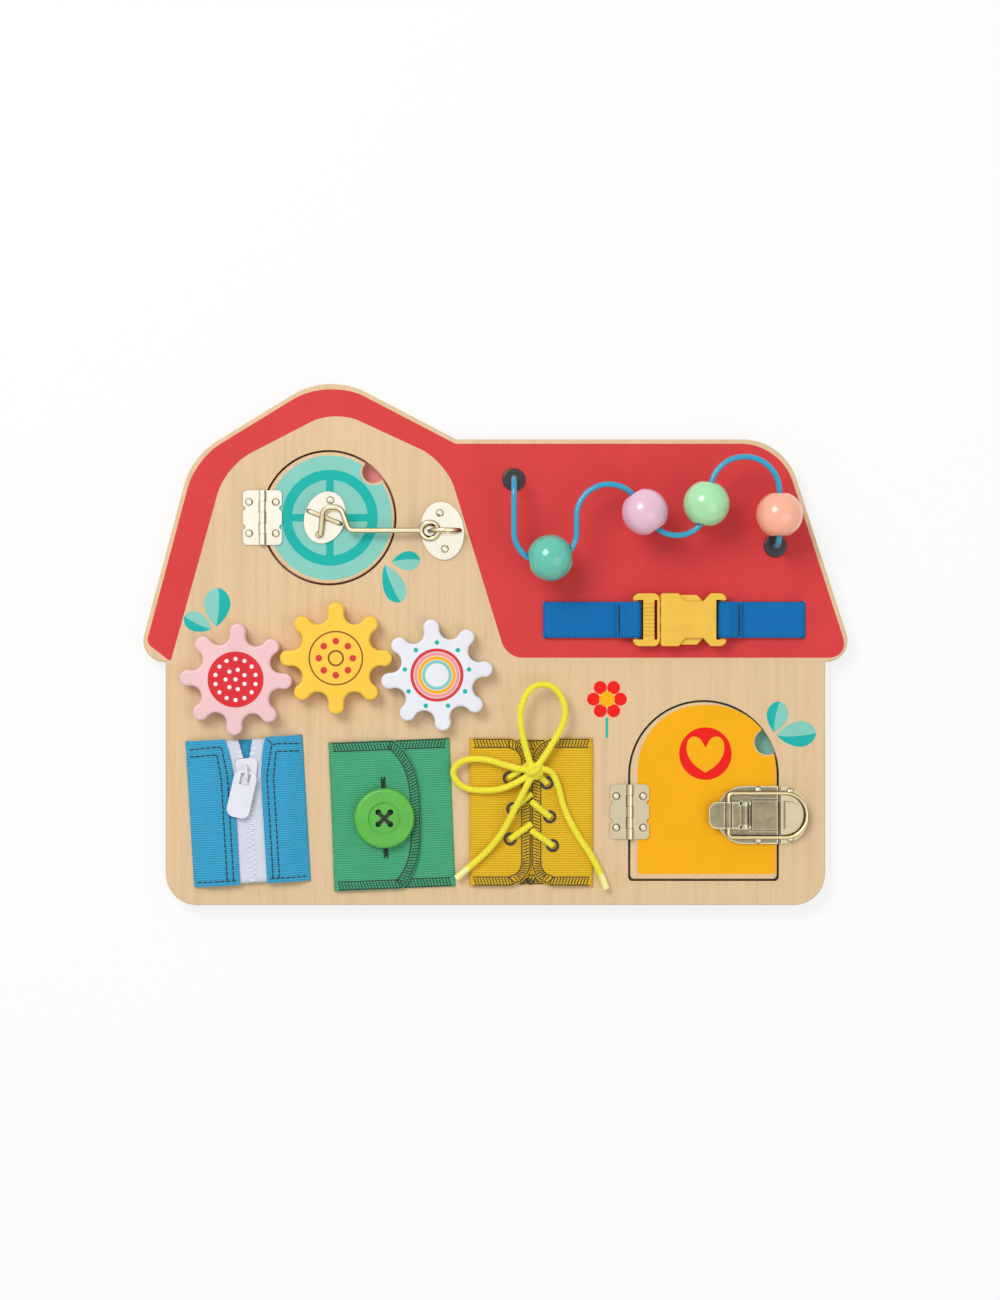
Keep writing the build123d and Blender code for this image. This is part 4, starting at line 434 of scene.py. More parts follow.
def woven(name, code, pitch, depth, groove_shade, sheen=0.12, roughness=0.88):
    """Ribbed cloth: ribs run along the flat piece's width, a pitch apart, with painted shade in the grooves
    and painted highlight on the ridges.
    """
    made, tree, shader = new_material(name, roughness, Sheen_Weight=sheen, Specular_IOR_Level=0.2)
    flat_place = place_of(tree, "UV")
    fuzz = noise(tree, flat_place, (900.0, 2600.0, 1.0))
    wear = noise(tree, flat_place, (60.0, 60.0, 1.0))
    turns = maths(tree, "MULTIPLY", split(tree, flat_place)[1], 2 * math.pi / (pitch * MM))
    phase = maths(tree, "ADD", turns, maths(tree, "MULTIPLY", fuzz, 1.6))
    rib = maths(tree, "MULTIPLY_ADD", maths(tree, "SINE", phase), 0.5, 0.5)
    # Painted shade in the grooves and painted highlight on the ridges
    rib_shade_and_highlight = ramp(tree, rib, ((0.0, shade(code, groove_shade)), (0.55, rgb(code)), (1.0, shade(code, 1.08))))
    worn = ramp(tree, wear, ((0.3, grey(0.9)), (0.7, grey(1.0))))
    nap = ramp(tree, fuzz, ((0.3, grey(0.84)), (0.65, grey(1.0))))
    colour(tree, shader, mix(tree, 0.8, mix(tree, 0.7, rib_shade_and_highlight, nap, "MULTIPLY"), worn, "MULTIPLY"))
    bump(tree, shader, maths(tree, "ADD", rib, maths(tree, "MULTIPLY", fuzz, 0.6)), depth)
    return made


def webbing(name, code, length_pitch, row_pitch):
    """Strap weave: rows of short floats, each row half a float on from the next."""
    made, tree, shader = new_material(name, 0.6, Sheen_Weight=0.02, Specular_IOR_Level=0.2)
    flat_place = place_of(tree, "UV")
    fuzz = noise(tree, flat_place, (1500.0, 1500.0, 1.0))
    along, across = split(tree, flat_place)[:2]
    turns = maths(tree, "MULTIPLY", along, math.pi / (length_pitch * MM))
    way = maths(tree, "ADD", turns, maths(tree, "MULTIPLY", fuzz, 0.7))
    rows = maths(tree, "MULTIPLY", across, math.pi / (2 * row_pitch * MM))
    float_height = crossed(tree, way, rows)
    # Painted shade between the floats and painted highlight on their tops
    tones = ((0.0, shade(code, 0.62)), (0.45, rgb(code)), (1.0, shade(code, 1.3)))
    colour(tree, shader, ramp(tree, float_height, tones))
    bump(tree, shader, float_height, 0.3)
    return made


def braid(name, code, turns):
    """Plaited lace, with its strands crossing along the length."""
    made, tree, shader = new_material(name, 0.62, Sheen_Weight=0.3)
    along, across = split(tree, place_of(tree, "UV"))[:2]
    length = maths(tree, "MULTIPLY", along, turns * 2 * math.pi)
    strand = crossed(tree, length, maths(tree, "MULTIPLY", across, 6 * math.pi))
    # Painted shade where the strands dip and painted highlight where they rise
    tones = ((0.0, shade(code, 0.72)), (0.4, rgb(code)), (1.0, shade(code, 1.06)))
    colour(tree, shader, ramp(tree, strand, tones))
    bump(tree, shader, strand, 0.18)
    return made


def thread(name, code):
    made, tree, shader = new_material(name, 0.6, Sheen_Weight=0.2)
    twist = noise(tree, place_of(tree), (2500.0, 2500.0, 2500.0), 2.0)
    colour(tree, shader, ramp(tree, twist, ((0.35, shade(code, 0.5)), (0.7, shade(code, 1.8)))))
    bump(tree, shader, twist, 0.08)
    return made


WOOD = plywood("plywood", "E0C198", 1.5)
BACKER = plywood("backer", "DABB90", 1.5)
RED = paint("red_print", "D63C3C", 0.5, gloss=0.2)
BRIGHT_RED = paint("bright_red_print", "EE1C16", 0.5, gloss=0.15)
BERRY_RED = paint("berry_red_print", "DA2C34", 0.5, gloss=0.2)
DARK_TEAL = paint("dark_teal_print", "12B2A9", 0.5, gloss=0.2)
LIGHT_TEAL = paint("light_teal_print", "84CBBD", 0.5, gloss=0.2)
YELLOW = paint("yellow_print", "F6B00A", 0.5, gloss=0.15)
WHITE_PRINT = paint("white_print", "F6F1EE", 0.5, gloss=0.2)
PINK_PRINT = paint("pink_print", "EE9A97", 0.5, gloss=0.2)
BROWN_PRINT = paint("brown_print", "8A4E22", 0.5, gloss=0.2)
SUN = paint("sun_paint", "FBC93C")
PINK = paint("pink_paint", "EEC2C5")
WHITE = paint("white_paint", "E8E8EF")
# Each brass as colours of painted reflection high and low on the board and of painted dark reflection on its
# sides, then roughness
BRASS = metal("pale_brass", "FDF7E8", "D6C9A6", "7E6030", 0.16)
WIRE_BRASS = metal("golden_wire", "F2E4BC", "DDCB9A", "54401A", 0.18)
# The latch's brass is painted darker as a dark reflection, and its last colour is a painted highlight on its
# rims
LATCH_DARK_REFLECTION_BRASS = metal("latch_brass_dark_reflection", "C4B890", "A09678", "5A4824", 0.3, 0.42, "FBF3D8")
SCREW_BRASS = metal("screw_brass", "F6ECD2", "E2D8BC", "5E4A22", 0.18)
WIRE = plastic("blue_wire", "1299C0", 0.22)
BLACK = plastic("black_plastic", "121216", 0.3)
BEADS = {
    "bead_teal": plastic("bead_teal_paint", "55BEA9", 0.2, 0.6),
    "bead_pink": plastic("bead_pink_paint", "E8B9D0", 0.2, 0.6),
    "bead_green": plastic("bead_green_paint", "A4E2A8", 0.2, 0.6),
    "bead_peach": plastic("bead_peach_paint", "FFB091", 0.2, 0.6),
}
ZIP_PLASTIC = plastic("zip_plastic", "E2E2EC", 0.4, 0.1)
BUTTON_PLASTIC = plastic("button_plastic", "55B23C", 0.32, 0.15, 0.08)
BUCKLE_PLASTIC = plastic("yellow_plastic", "EBBC3A", 0.4, 0.08)
BLUE_CLOTH = woven("blue_cloth", "3FB0DE", 1.3, 0.3, 0.72)
GREEN_CLOTH = woven("green_cloth", "4FB884", 1.3, 0.3, 0.72)
YELLOW_CLOTH = woven("yellow_cloth", "F8C624", 1.3, 0.3, 0.74)
TAPE = woven("zip_tape", "E4E8F4", 0.7, 0.1, 0.86)
WEBBING = webbing("blue_webbing", "0074BC", 1.7, 1.26)
LACE = braid("yellow_lace", "FBEF1E", 24.0)
SHORT_LACE = braid("short_yellow_lace", "FBEF1E", 4.0)
KNOT_LACE = braid("knotted_yellow_lace", "FBEF1E", 8.0)
LACE_TIP = plastic("lace_tip", "F6EE9A", 0.35, 0.2)
THREAD = thread("black_thread", "141416")
STRAP_THREAD = thread("strap_thread", "040A1C")

CAD_FINISHES = (
    (WOOD, ("front_board", "window_disc", "door_panel")),
    (BACKER, ("back_board",)),
    (SUN, ("gear_sun", "spindle_sun")),
    (PINK, ("gear_pink", "spindle_pink")),
    (WHITE, ("gear_white", "spindle_white")),
    (BRASS, ("hinge_fixed_leaves", "window_hinge_leaf", "door_hinge_leaf", "hook_eye_plate",
             "hook_catch_plate", "latch_strike")),
    (WIRE_BRASS, ("hook", "hook_eye_staple", "hook_catch_staple", "latch_bail")),
    (LATCH_DARK_REFLECTION_BRASS, ("latch_lever", "latch_base")),
    (SCREW_BRASS, ("hinge_pins", "board_screws", "window_screws", "door_screws", "latch_pin",
                   "back_screws", "gear_washers")),
    (WIRE, ("bead_wire",)),
    (BLACK, ("wire_grommets", "lace_eyelets")),
    (ZIP_PLASTIC, ("zip_teeth", "zip_slider", "zip_pull")),
    (BUTTON_PLASTIC, ("button",)),
    (BUCKLE_PLASTIC, ("buckle_male", "buckle_female")),
    *((finish, (bead,)) for bead, finish in BEADS.items()),
)
for finish, names in CAD_FINISHES:
    for name in names:
        nodes[name].data.materials.clear()
        nodes[name].data.materials.append(finish)


# Making pieces

def piece(name, bm, body, finish, smooth=False):
    """An object from a mesh in millimetres, riding on a body."""
    bmesh.ops.scale(bm, vec=(MM, MM, MM), verts=bm.verts[:])
    bmesh.ops.recalc_face_normals(bm, faces=bm.faces[:])
    for face in bm.faces:
        face.smooth = smooth
    mesh = bpy.data.meshes.new(name)
    bm.to_mesh(mesh)
    bm.free()
    mesh.materials.append(finish)
    made = bpy.data.objects.new(name, mesh)
    bpy.context.collection.objects.link(made)
    if body:
        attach(made, body)
    return made


def settle(made):
    """Applies the modifiers of a piece."""
    graph = bpy.context.evaluated_depsgraph_get()
    made.data = bpy.data.meshes.new_from_object(made.evaluated_get(graph))
    made.modifiers.clear()


def add_disc(bm, x, y, radius, segments=64):
    bmesh.ops.create_circle(bm, cap_ends=True, segments=segments, radius=radius,
                            matrix=Matrix.Translation((x, y, 0)))


def add_ring(bm, x, y, outer, inner, segments=96):
    edges = []
    place = Matrix.Translation((x, y, 0))
    for radius in (outer, inner):
        loop = bmesh.ops.create_circle(bm, segments=segments, radius=radius, matrix=place)
        edges += dict.fromkeys(edge for vert in loop["verts"] for edge in vert.link_edges)
    bmesh.ops.bridge_loops(bm, edges=edges)


def add_outline(bm, corners, turn=None, arc=10):
    """A flat face through corners, those with a third value rounded by that reach."""
    turn = turn or Matrix.Identity(4)
    verts = [bm.verts.new(turn @ Vector((corner[0], corner[1], 0))) for corner in corners]
    bm.faces.new(verts)
    for vert, corner in zip(verts, corners):
        if len(corner) > 2:
            bmesh.ops.bevel(bm, geom=[vert], offset=corner[2], offset_type="OFFSET", segments=arc,
                            profile=0.5, affect="VERTICES", material=-1)


def film(name, bm, body, finish, level):
    """Closes flat shapes to a thin printed layer at a level."""
    raised = bmesh.ops.extrude_face_region(bm, geom=bm.faces[:])["geom"]
    bmesh.ops.translate(bm, verts=[v for v in raised if isinstance(v, bmesh.types.BMVert)], vec=(0, 0, FILM))
    bmesh.ops.translate(bm, verts=bm.verts[:], vec=(0, 0, level))
    return piece(name, bm, body, finish)


def cut(made, cutters):
    """Takes boxes or round bars, given as meshes in millimetres, out of a piece."""
    for bm in cutters:
        tool = piece(made.name + "_cutter", bm, None, made.data.materials[0])
        modifier = made.modifiers.new("cut", "BOOLEAN")
        modifier.object = tool
        modifier.solver = "EXACT"
        settle(made)
        bpy.data.objects.remove(tool)


def round_bar(x, y, radius):
    bm = bmesh.new()
    bmesh.ops.create_cone(bm, cap_ends=True, segments=48, radius1=radius, radius2=radius, depth=CUT_HEIGHT,
                          matrix=Matrix.Translation((x, y, 0)))
    return bm


def block(x, y, width, length, tilt=0.0):
    bm = bmesh.new()
    turn = Matrix.Translation((x, y, 0)) @ Matrix.Rotation(math.radians(tilt), 4, "Z")
    bmesh.ops.create_cube(bm, size=1.0, matrix=turn @ Matrix.Diagonal((width, length, CUT_HEIGHT, 1)))
    return bm


def polar(centre, notch):
    reach, angle, radius = notch
    turn = math.radians(angle)
    return centre[0] + reach * math.cos(turn), centre[1] + reach * math.sin(turn), radius


def middle(name):
    low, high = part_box(name)
    return (Vector(low) + Vector(high)) / 2 / MM


def flat(*shapes):
    """Flat shapes in one mesh, each given as its maker and what that takes."""
    bm = bmesh.new()
    for make, *given in shapes:
        make(bm, *given)
    return bm


def add_dots(bm, centre, ring, segments):
    count, reach, radius, start = ring
    for dot in range(count):
        turn = (dot + start) * 2 * math.pi / count
        add_disc(bm, centre[0] + reach * math.cos(turn), centre[1] + reach * math.sin(turn), radius, segments)


def add_arch(bm, sides, arch, corner=None):
    """A door shape with a round top, and rounded lower corners where a reach is given."""
    left, right, bottom, top = sides
    foot = (bottom, corner) if corner else (bottom,)
    add_outline(bm, ((left, *foot), (right, *foot), (right, top, arch), (left, top, arch)), arc=24)


# Prints on the board

roof = film("roof_print", flat((add_outline, ROOF_PRINT)), "board", RED, FACE)
cut(roof, [block(x, STRAP_Y, *SLOT_SIZE) for x in STRAP_SLOTS])

window = middle("window_disc")
pane_middle = (window.x + WINDOW_PRINT_SHIFT, window.y)
pane = film("window_print", flat((add_disc, *pane_middle, WINDOW_PRINT_RADIUS, 128)),
            "window", LIGHT_TEAL, WINDOW_TOP)
cut(pane, [round_bar(*polar(window, WINDOW_NOTCH))])
film("window_ring_print", flat((add_ring, *pane_middle, *WINDOW_RING)),
     "window", DARK_TEAL, WINDOW_TOP + FILM)
half, bar = WINDOW_RING[1], WINDOW_BAR / 2
cross = [(pane_middle[0] + x, pane_middle[1] + y) for x, y in (
    (bar, bar), (half, bar), (half, -bar), (bar, -bar), (bar, -half), (-bar, -half),
    (-bar, -bar), (-half, -bar), (-half, bar), (-bar, bar), (-bar, half), (bar, half))]
film("window_bars_print", flat((add_outline, cross)), "window", DARK_TEAL, WINDOW_TOP + FILM)

door_print = film("door_print", flat((add_arch, DOOR_PRINT, DOOR_ARCH, DOOR_CORNER)),
                  "door", YELLOW, DOOR_TOP)
cut(door_print, [round_bar(*polar(DOOR_CENTRE, DOOR_NOTCH))])
film("heart_disc_print", flat((add_disc, *HEART_DISC)), "door", BRIGHT_RED, DOOR_TOP + FILM)
film("heart_print", flat((add_outline, HEART, Matrix.Translation((*HEART_DISC[:2], 0)))),
     "door", YELLOW, DOOR_TOP + 2 * FILM)

for tone, half, finish in (("dark", 1, DARK_TEAL), ("light", -1, LIGHT_TEAL)):
    bm = bmesh.new()
    for x, y, angle, length, width, dark_side in LEAVES:
        vein_x, vein_y, vein_reach = LEAF_VEIN_SHARES
        vein = (length * vein_x, dark_side * width * vein_y, length * vein_reach)
        belly = half * dark_side * width / 2
        turn = Matrix.Translation((x, y, 0)) @ Matrix.Rotation(math.radians(angle), 4, "Z")
        add_outline(bm, ((0, 0), vein, (length, 0),
                         (length * LEAF_TIP_SHARES[0], belly, width * LEAF_TIP_SHARES[1]),
                         (length * LEAF_FOOT_SHARES[0], belly, length * LEAF_FOOT_SHARES[1])), turn)
    film(f"leaf_{tone}_print", bm, "board", finish, FACE)

film("flower_petals_print", flat((add_dots, FLOWER, PETALS, 32)), "board", BRIGHT_RED, FACE)
film("flower_middle_print", flat((add_disc, *FLOWER, FLOWER_MIDDLE, 32)),
     "board", YELLOW, FACE + FILM)
stem_low, stem_high = (FLOWER[1] - fall for fall in STEM_DROP)
stem = ((FLOWER[0] - STEM_HALF, stem_low), (FLOWER[0] + STEM_HALF, stem_low),
        (FLOWER[0] + STEM_HALF, stem_high), (FLOWER[0] - STEM_HALF, stem_high))
film("flower_stem_print", flat((add_outline, stem)), "board", DARK_TEAL, FACE)

film("window_back_print", flat((add_disc, window.x, window.y, WINDOW_BACK_RADIUS, 96)),
     "board", PINK_PRINT, BACK_FACE)
film("door_back_print", flat((add_arch, DOOR_BACK, DOOR_BACK_ARCH)), "board", LIGHT_TEAL, BACK_FACE)

# Prints on the gears

pink = middle("spindle_pink")
film("pink_gear_disc_print", flat((add_disc, pink.x, pink.y, PINK_GEAR_DISC)),
     "pink_gear", BERRY_RED, GEAR_TOP)
film("pink_gear_dots_print", flat(*((add_dots, pink, ring, 20) for ring in PINK_GEAR_DOTS)),
     "pink_gear", WHITE_PRINT, GEAR_TOP + FILM)

sun = middle("spindle_sun")
film("sun_gear_rings_print", flat(*((add_ring, sun.x, sun.y, *ring) for ring in SUN_GEAR_RINGS)),
     "sun_gear", BROWN_PRINT, GEAR_TOP)
film("sun_gear_dots_print", flat((add_dots, sun, SUN_GEAR_DOTS, 24)), "sun_gear", RED, GEAR_TOP)

white = middle("spindle_white")
for tone, finish in (("red", RED), ("pink", PINK_PRINT), ("yellow", YELLOW), ("teal", LIGHT_TEAL)):
    film(f"white_gear_{tone}_print", flat((add_ring, white.x, white.y, *WHITE_GEAR_RINGS[tone])),
         "white_gear", finish, GEAR_TOP)
film("white_gear_dots_print", flat((add_dots, white, WHITE_GEAR_DOTS, 20)),
     "white_gear", DARK_TEAL, GEAR_TOP)


# Cloth panels

def on_panel(panel, x, y, z):
    turn = math.radians(panel[2])
    return Vector((panel[0] + x * math.cos(turn) - y * math.sin(turn),
                   panel[1] + x * math.sin(turn) + y * math.cos(turn), FACE + z))


def lengths(path):
    return [math.dist(a, b) for a, b in zip(path, path[1:])]


def walk(path, distance):
    """The point a distance along a path."""
    for (a, b), step in zip(zip(path, path[1:]), lengths(path)):
        if distance <= step:
            return [p + (q - p) * distance / step for p, q in zip(a, b)]
        distance -= step
    return list(path[-1])


def sheet_grid(columns, rows, width, height, start=(0.0, 0.0)):
    """A grid one unit wide and high, with its flat size as the weave's UV."""
    bm = bmesh.new()
    bmesh.ops.create_grid(bm, x_segments=columns, y_segments=rows, size=0.5)
    weave = bm.loops.layers.uv.new("weave")
    for face in bm.faces:
        for loop in face.loops:
            x, y, _ = loop.vert.co
            loop[weave].uv = ((x + start[0]) * width * MM, (y + start[1]) * height * MM)
    return bm


def thicken(made, thick):
    made.modifiers.new("thick", "SOLIDIFY").thickness = thick * MM
    made.modifiers["thick"].offset = 0.0
    settle(made)


def cloth(name, panel, size, side, path_at, finish, pucker):
    """A sheet from its tail in the slot on one side, along a path for each height, to its free edge."""
    width, height = size
    flat_width = sum(lengths(path_at(0.0)))
    bm = sheet_grid(44, 40, flat_width, height, (0.5, 0.5))
    for vert in bm.verts:
        y = vert.co.y * height
        path = path_at(y)
        reach, z = walk(path, (vert.co.x + 0.5) * sum(lengths(path)))
        x = side * (reach + SLOT_EDGE - width / 2)
        y += 2 * vert.co.y * EDGE_GROWTH * min(1.0, max(0.0, z + GROWTH_DEPTH))
        if reach > PUCKER_START and z > 0:
            first, second = (math.sin(y / down + x / over) for down, over in PUCKER_WAVES)
            z += pucker * first * second
        vert.co = on_panel(panel, x, y, z)
    made = piece(name, bm, None, finish, smooth=True)
    made.modifiers.new("soft", "SUBSURF").levels = 1
    made.modifiers["soft"].render_levels = 1
    thicken(made, CLOTH)
    return made, (flat_width * MM, height * MM)


def slot_path(rise):
    """From the tail behind the board, up the slot and over its edge."""
    return [TAIL, (0.0, TAIL[1]), SLOT_LEAN, SLOT_FOLD, (SLOT_LIP, rise)]


def zip_path(reach):
    def path_at(y):
        flare = ZIP_FLARE * max(0.0, (y - ZIP_FLARE_FROM) / ZIP_FLARE_RUN) ** 2
        return [*slot_path(ZIP_RISES[0]), (ZIP_RAMP, ZIP_RISES[1]), (reach - flare, ZIP_RISES[1])]
    return path_at


def base_path(y):
    return [*slot_path(BUTTON_BASE_RISE), (BUTTON_BASE_REACH, BUTTON_BASE_RISE)]


def flap_edge(y):
    return float(np.polyval(FLAP_EDGE, y))


def flap_path(y):
    """From inside the slot, so that no tail behind the board turns with the flap."""
    reach = flap_edge(y) + BUTTON_SIZE[0] / 2 - SLOT_EDGE
    return [*slot_path(FLAP_RISE)[1:], (reach, FLAP_RISE)]


def seam_edge(y):
    """How far a laced flap's free edge stays from the seam."""
    over = max(0.0, abs(y) - (LACE_SIZE[1] / 2 - CORNER_BITE[1])) / CORNER_BITE[1]
    return SEAM_GAP + CORNER_BITE[0] * (1 - math.sqrt(max(0.0, 1 - over ** 2)))


def lace_path(y):
    return [*slot_path(LACE_RISE), (LACE_SIZE[0] / 2 - SLOT_EDGE - seam_edge(y), LACE_RISE)]


def backing(name, panel, size, finish):
    """A flat cloth under a panel's opening."""
    width, height = size
    bm = sheet_grid(12, 16, width, height)
    for vert in bm.verts:
        vert.co = on_panel(panel, vert.co.x * width, vert.co.y * height, BACKING_RISE)
    made = piece(name, bm, "board", finish, smooth=True)
    thicken(made, BACKING_CLOTH)
    return made


def zip_cloth(name, side, reach):
    return cloth(name, ZIP_PANEL, ZIP_SIZE, side, zip_path(reach), BLUE_CLOTH, ZIP_PUCKER)


def button_cloth(name, side, path_at, pucker):
    return cloth(name, BUTTON_PANEL, BUTTON_SIZE, side, path_at, GREEN_CLOTH, pucker)


def lace_cloth(name, side):
    return cloth(name, LACE_PANEL, LACE_SIZE, side, lace_path, YELLOW_CLOTH, LACE_PUCKER)


zip_left, zip_left_flat = zip_cloth("zip_cloth_left_look", 1, ZIP_REACHES[0])
zip_right, zip_right_flat = zip_cloth("zip_cloth_right_look", -1, ZIP_REACHES[1])
button_base, base_flat = button_cloth("button_base_look", -1, base_path, BASE_PUCKER)
button_flap, flap_flat = button_cloth("button_flap_look", 1, flap_path, FLAP_PUCKER)
lace_left, lace_left_flat = lace_cloth("lace_flap_left_look", 1)
lace_right, lace_right_flat = lace_cloth("lace_flap_right_look", -1)
for sheet, stands_for in ((zip_left, "zip_cloth_left"), (zip_right, "zip_cloth_right"),
                          (button_base, "button_base"), (lace_left, "lace_flap_left"),
                          (lace_right, "lace_flap_right")):
    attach(sheet, "board")
    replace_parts(sheet, stands_for)
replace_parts(button_flap, "button_flap")
zip_backing = backing("zip_backing_look", ZIP_PANEL, ZIP_BACKING, BLUE_CLOTH)
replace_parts(zip_backing, "zip_backing")
lace_backing = backing("lace_backing_look", LACE_PANEL, LACE_BACKING, YELLOW_CLOTH)
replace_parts(lace_backing, "lace_backing")


def tape(name, side):
    """One woven side of the zip, spread at the open end."""
    height = ZIP_SIZE[1]
    bm = sheet_grid(8, 36, TAPE_WIDTH, height, (0.5, 0.0))
    for vert in bm.verts:
        y = vert.co.y * height
        spread = TAPE_SPREAD * max(0.0, (y - TAPE_SPREAD_START) / (height / 2 - TAPE_SPREAD_START))
        x = ZIP_AXIS + side * (TAPE_EDGE + spread + (vert.co.x + 0.5) * (TAPE_WIDTH - spread))
        vert.co = on_panel(ZIP_PANEL, x, y, TAPE_RISE)
    made = piece(name, bm, "board", TAPE, smooth=True)
    thicken(made, TAPE_CLOTH)
    return made


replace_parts(tape("zip_tape_left_look", -1), "zip_tapes")
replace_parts(tape("zip_tape_right_look", 1), "zip_tapes")


# Stitches, each a slim bead of thread on the cloth below it

def ground_of(*sheets):
    graph = bpy.context.evaluated_depsgraph_get()
    return [BVHTree.FromObject(sheet, graph) for sheet in sheets]


def drop(ground, panel, spot, lift):
    """The point on the highest cloth below a spot of a panel."""
    above = on_panel(panel, spot[0], spot[1], STITCH_DROP) * MM
    hits = [tree.ray_cast(above, Vector((0, 0, -1)))[0] for tree in ground]
    heights = [hit.z / MM for hit in hits if hit is not None]
    point = above / MM
    point.z = max(heights, default=FACE) + lift
    return point


def threads(name, panel, spans, ground, radius, finish=THREAD):
    unit = bmesh.new()
    bmesh.ops.create_uvsphere(unit, u_segments=6, v_segments=5, radius=1.0)
    bm = bmesh.new()
    for start, end in spans:
        a = drop(ground, panel, start, radius * STITCH_RISE_SHARE)
        b = drop(ground, panel, end, radius * STITCH_RISE_SHARE)
        way = b - a
        half = way.length / 2 + radius * STITCH_END_SHARE
        way.normalize()
        aside = way.cross(Vector((0, 0, 1))).normalized()
        over = aside.cross(way)
        bead = Matrix((aside * radius, over * radius, way * half)).transposed().to_4x4()
        bead.translation = (a + b) / 2
        stitch = bpy.data.meshes.new("stitch")
        unit.to_mesh(stitch)
        stitch.transform(bead)
        bm.from_mesh(stitch)
        bpy.data.meshes.remove(stitch)
    unit.free()
    return piece(name, bm, None, finish, smooth=True)


def even_points(line, pitch):
    """Spots a pitch apart along a line, each with the way across it."""
    total = sum(lengths(line))
    count = max(2, round(total / pitch))
    spots = []
    for i in range(count + 1):
        distance = total * i / count
        back = walk(line, max(0.0, distance - SEAM_LOOK))
        on = walk(line, min(total, distance + SEAM_LOOK))
        run = math.dist(back, on)
        spots.append((walk(line, distance), ((on[1] - back[1]) / run, (back[0] - on[0]) / run)))
    return spots


def overlock(line, inward):
    """Slanted threads between two chains along an edge."""
    spots = even_points(line, OVERLOCK_PITCH)
    outer, inner = ([(x + inward * nx * depth, y + inward * ny * depth) for (x, y), (nx, ny) in spots]
                    for depth in (OVERLOCK_EDGE, OVERLOCK_DEPTH))
    spans = list(zip(outer, inner[1:]))
    spans += list(zip(outer, outer[1:]))
    spans += list(zip(inner, inner[1:]))
    return spans


def running(line, dash, gap):
    """A row of dashes with gaps between them."""
    spots = [spot for spot, _ in even_points(line, dash + gap)]
    share = dash / (dash + gap)
    return [(a, [p + (q - p) * share for p, q in zip(a, b)]) for a, b in zip(spots, spots[1:])]


def edge_heights(half_height, steps):
    """Even steps down an edge, from its top to its foot."""
    return [half_height * (1 - i / steps) for i in range(2 * steps + 1)]


zip_spans = [span for line in ZIP_SEAMS for span in running(line, *ZIP_STITCH)]
zip_ground = ground_of(zip_left, zip_right)
zip_stitches = threads("zip_stitches", ZIP_PANEL, zip_spans, zip_ground, ZIP_STITCH_RADIUS)
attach(zip_stitches, "board")

half_height = BUTTON_SIZE[1] / 2 + EDGE_GROWTH
seam_end = BUTTON_SIZE[0] / 2 - SEAM_END
free_edge = [(flap_edge(y), y) for y in edge_heights(half_height, 12)]
flap_spans = overlock([(-seam_end, half_height), *free_edge, (-seam_end, -half_height)], 1)
slit_turn = Matrix.Rotation(math.radians(-BUTTON_PANEL[2]), 2)
slit_x, slit_y = slit_turn @ Vector((BUTTON[0] - BUTTON_PANEL[0], BUTTON[1] - BUTTON_PANEL[1]))
slit_end = SLIT_HALF + SLIT_OVERRUN
for side in (-1, 1):
    x = slit_x + side * SLIT_STITCH[0]
    slit = even_points([(x, slit_y - slit_end), (x, slit_y + slit_end)], SLIT_PITCH)
    flap_spans += [((x, y), (x + side * SLIT_STITCH[1], y + SLIT_SLANT)) for (x, y), _ in slit]
flap_ground = ground_of(button_flap)
flap_stitches = threads("button_flap_stitches", BUTTON_PANEL, flap_spans, flap_ground, STITCH_RADIUS)
cut(button_flap, [block(*BUTTON, SLIT_WIDTH, 2 * SLIT_HALF, BUTTON_PANEL[2]), round_bar(*BUTTON, SLIT_EYE)])
base_spans = []
for side in (1, -1):
    y = side * half_height
    base_spans += overlock([(seam_end, y), (flap_edge(y) - BASE_UNDERLAP, y)], -side)
base_ground = ground_of(button_base)
base_stitches = threads("button_base_stitches", BUTTON_PANEL, base_spans, base_ground, STITCH_RADIUS)
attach(base_stitches, "board")

half_height = LACE_SIZE[1] / 2 + EDGE_GROWTH
seam_end = LACE_SIZE[0] / 2 - SEAM_END
lace_spans = []
for side in (-1, 1):
    edge = [(side * seam_edge(y), y) for y in edge_heights(half_height, 40)]
    lace_spans += overlock([(side * seam_end, half_height), *edge, (side * seam_end, -half_height)], -side)
seam_turns = [i * math.pi / 3 for i in range(6 * SEAM_LOOPS + 1)]
seam_points = [(SEAM_FOOT[0] + SEAM_STEP * turn + SEAM_LOOP[0] * math.cos(turn),
                SEAM_FOOT[1] + SEAM_LOOP[1] * math.sin(SEAM_DRIFT * turn)) for turn in seam_turns]
lace_spans += list(zip(seam_points, seam_points[1:]))
lace_ground = ground_of(lace_left, lace_right, lace_backing)
lace_stitches = threads("lace_flap_stitches", LACE_PANEL, lace_spans, lace_ground, STITCH_RADIUS)
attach(lace_stitches, "board")
backing_spans = []
for side in (1, -1):
    y = side * LACE_SIZE[1] / 2
    backing_spans += overlock([(-BACKING_SEAM_HALF, y), (BACKING_SEAM_HALF, y)], side)
backing_ground = ground_of(lace_backing)
backing_stitches = threads("lace_backing_stitches", LACE_PANEL, backing_spans, backing_ground, STITCH_RADIUS)
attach(backing_stitches, "board")

for made in (button_flap, flap_stitches):
    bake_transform(made)


# Straps

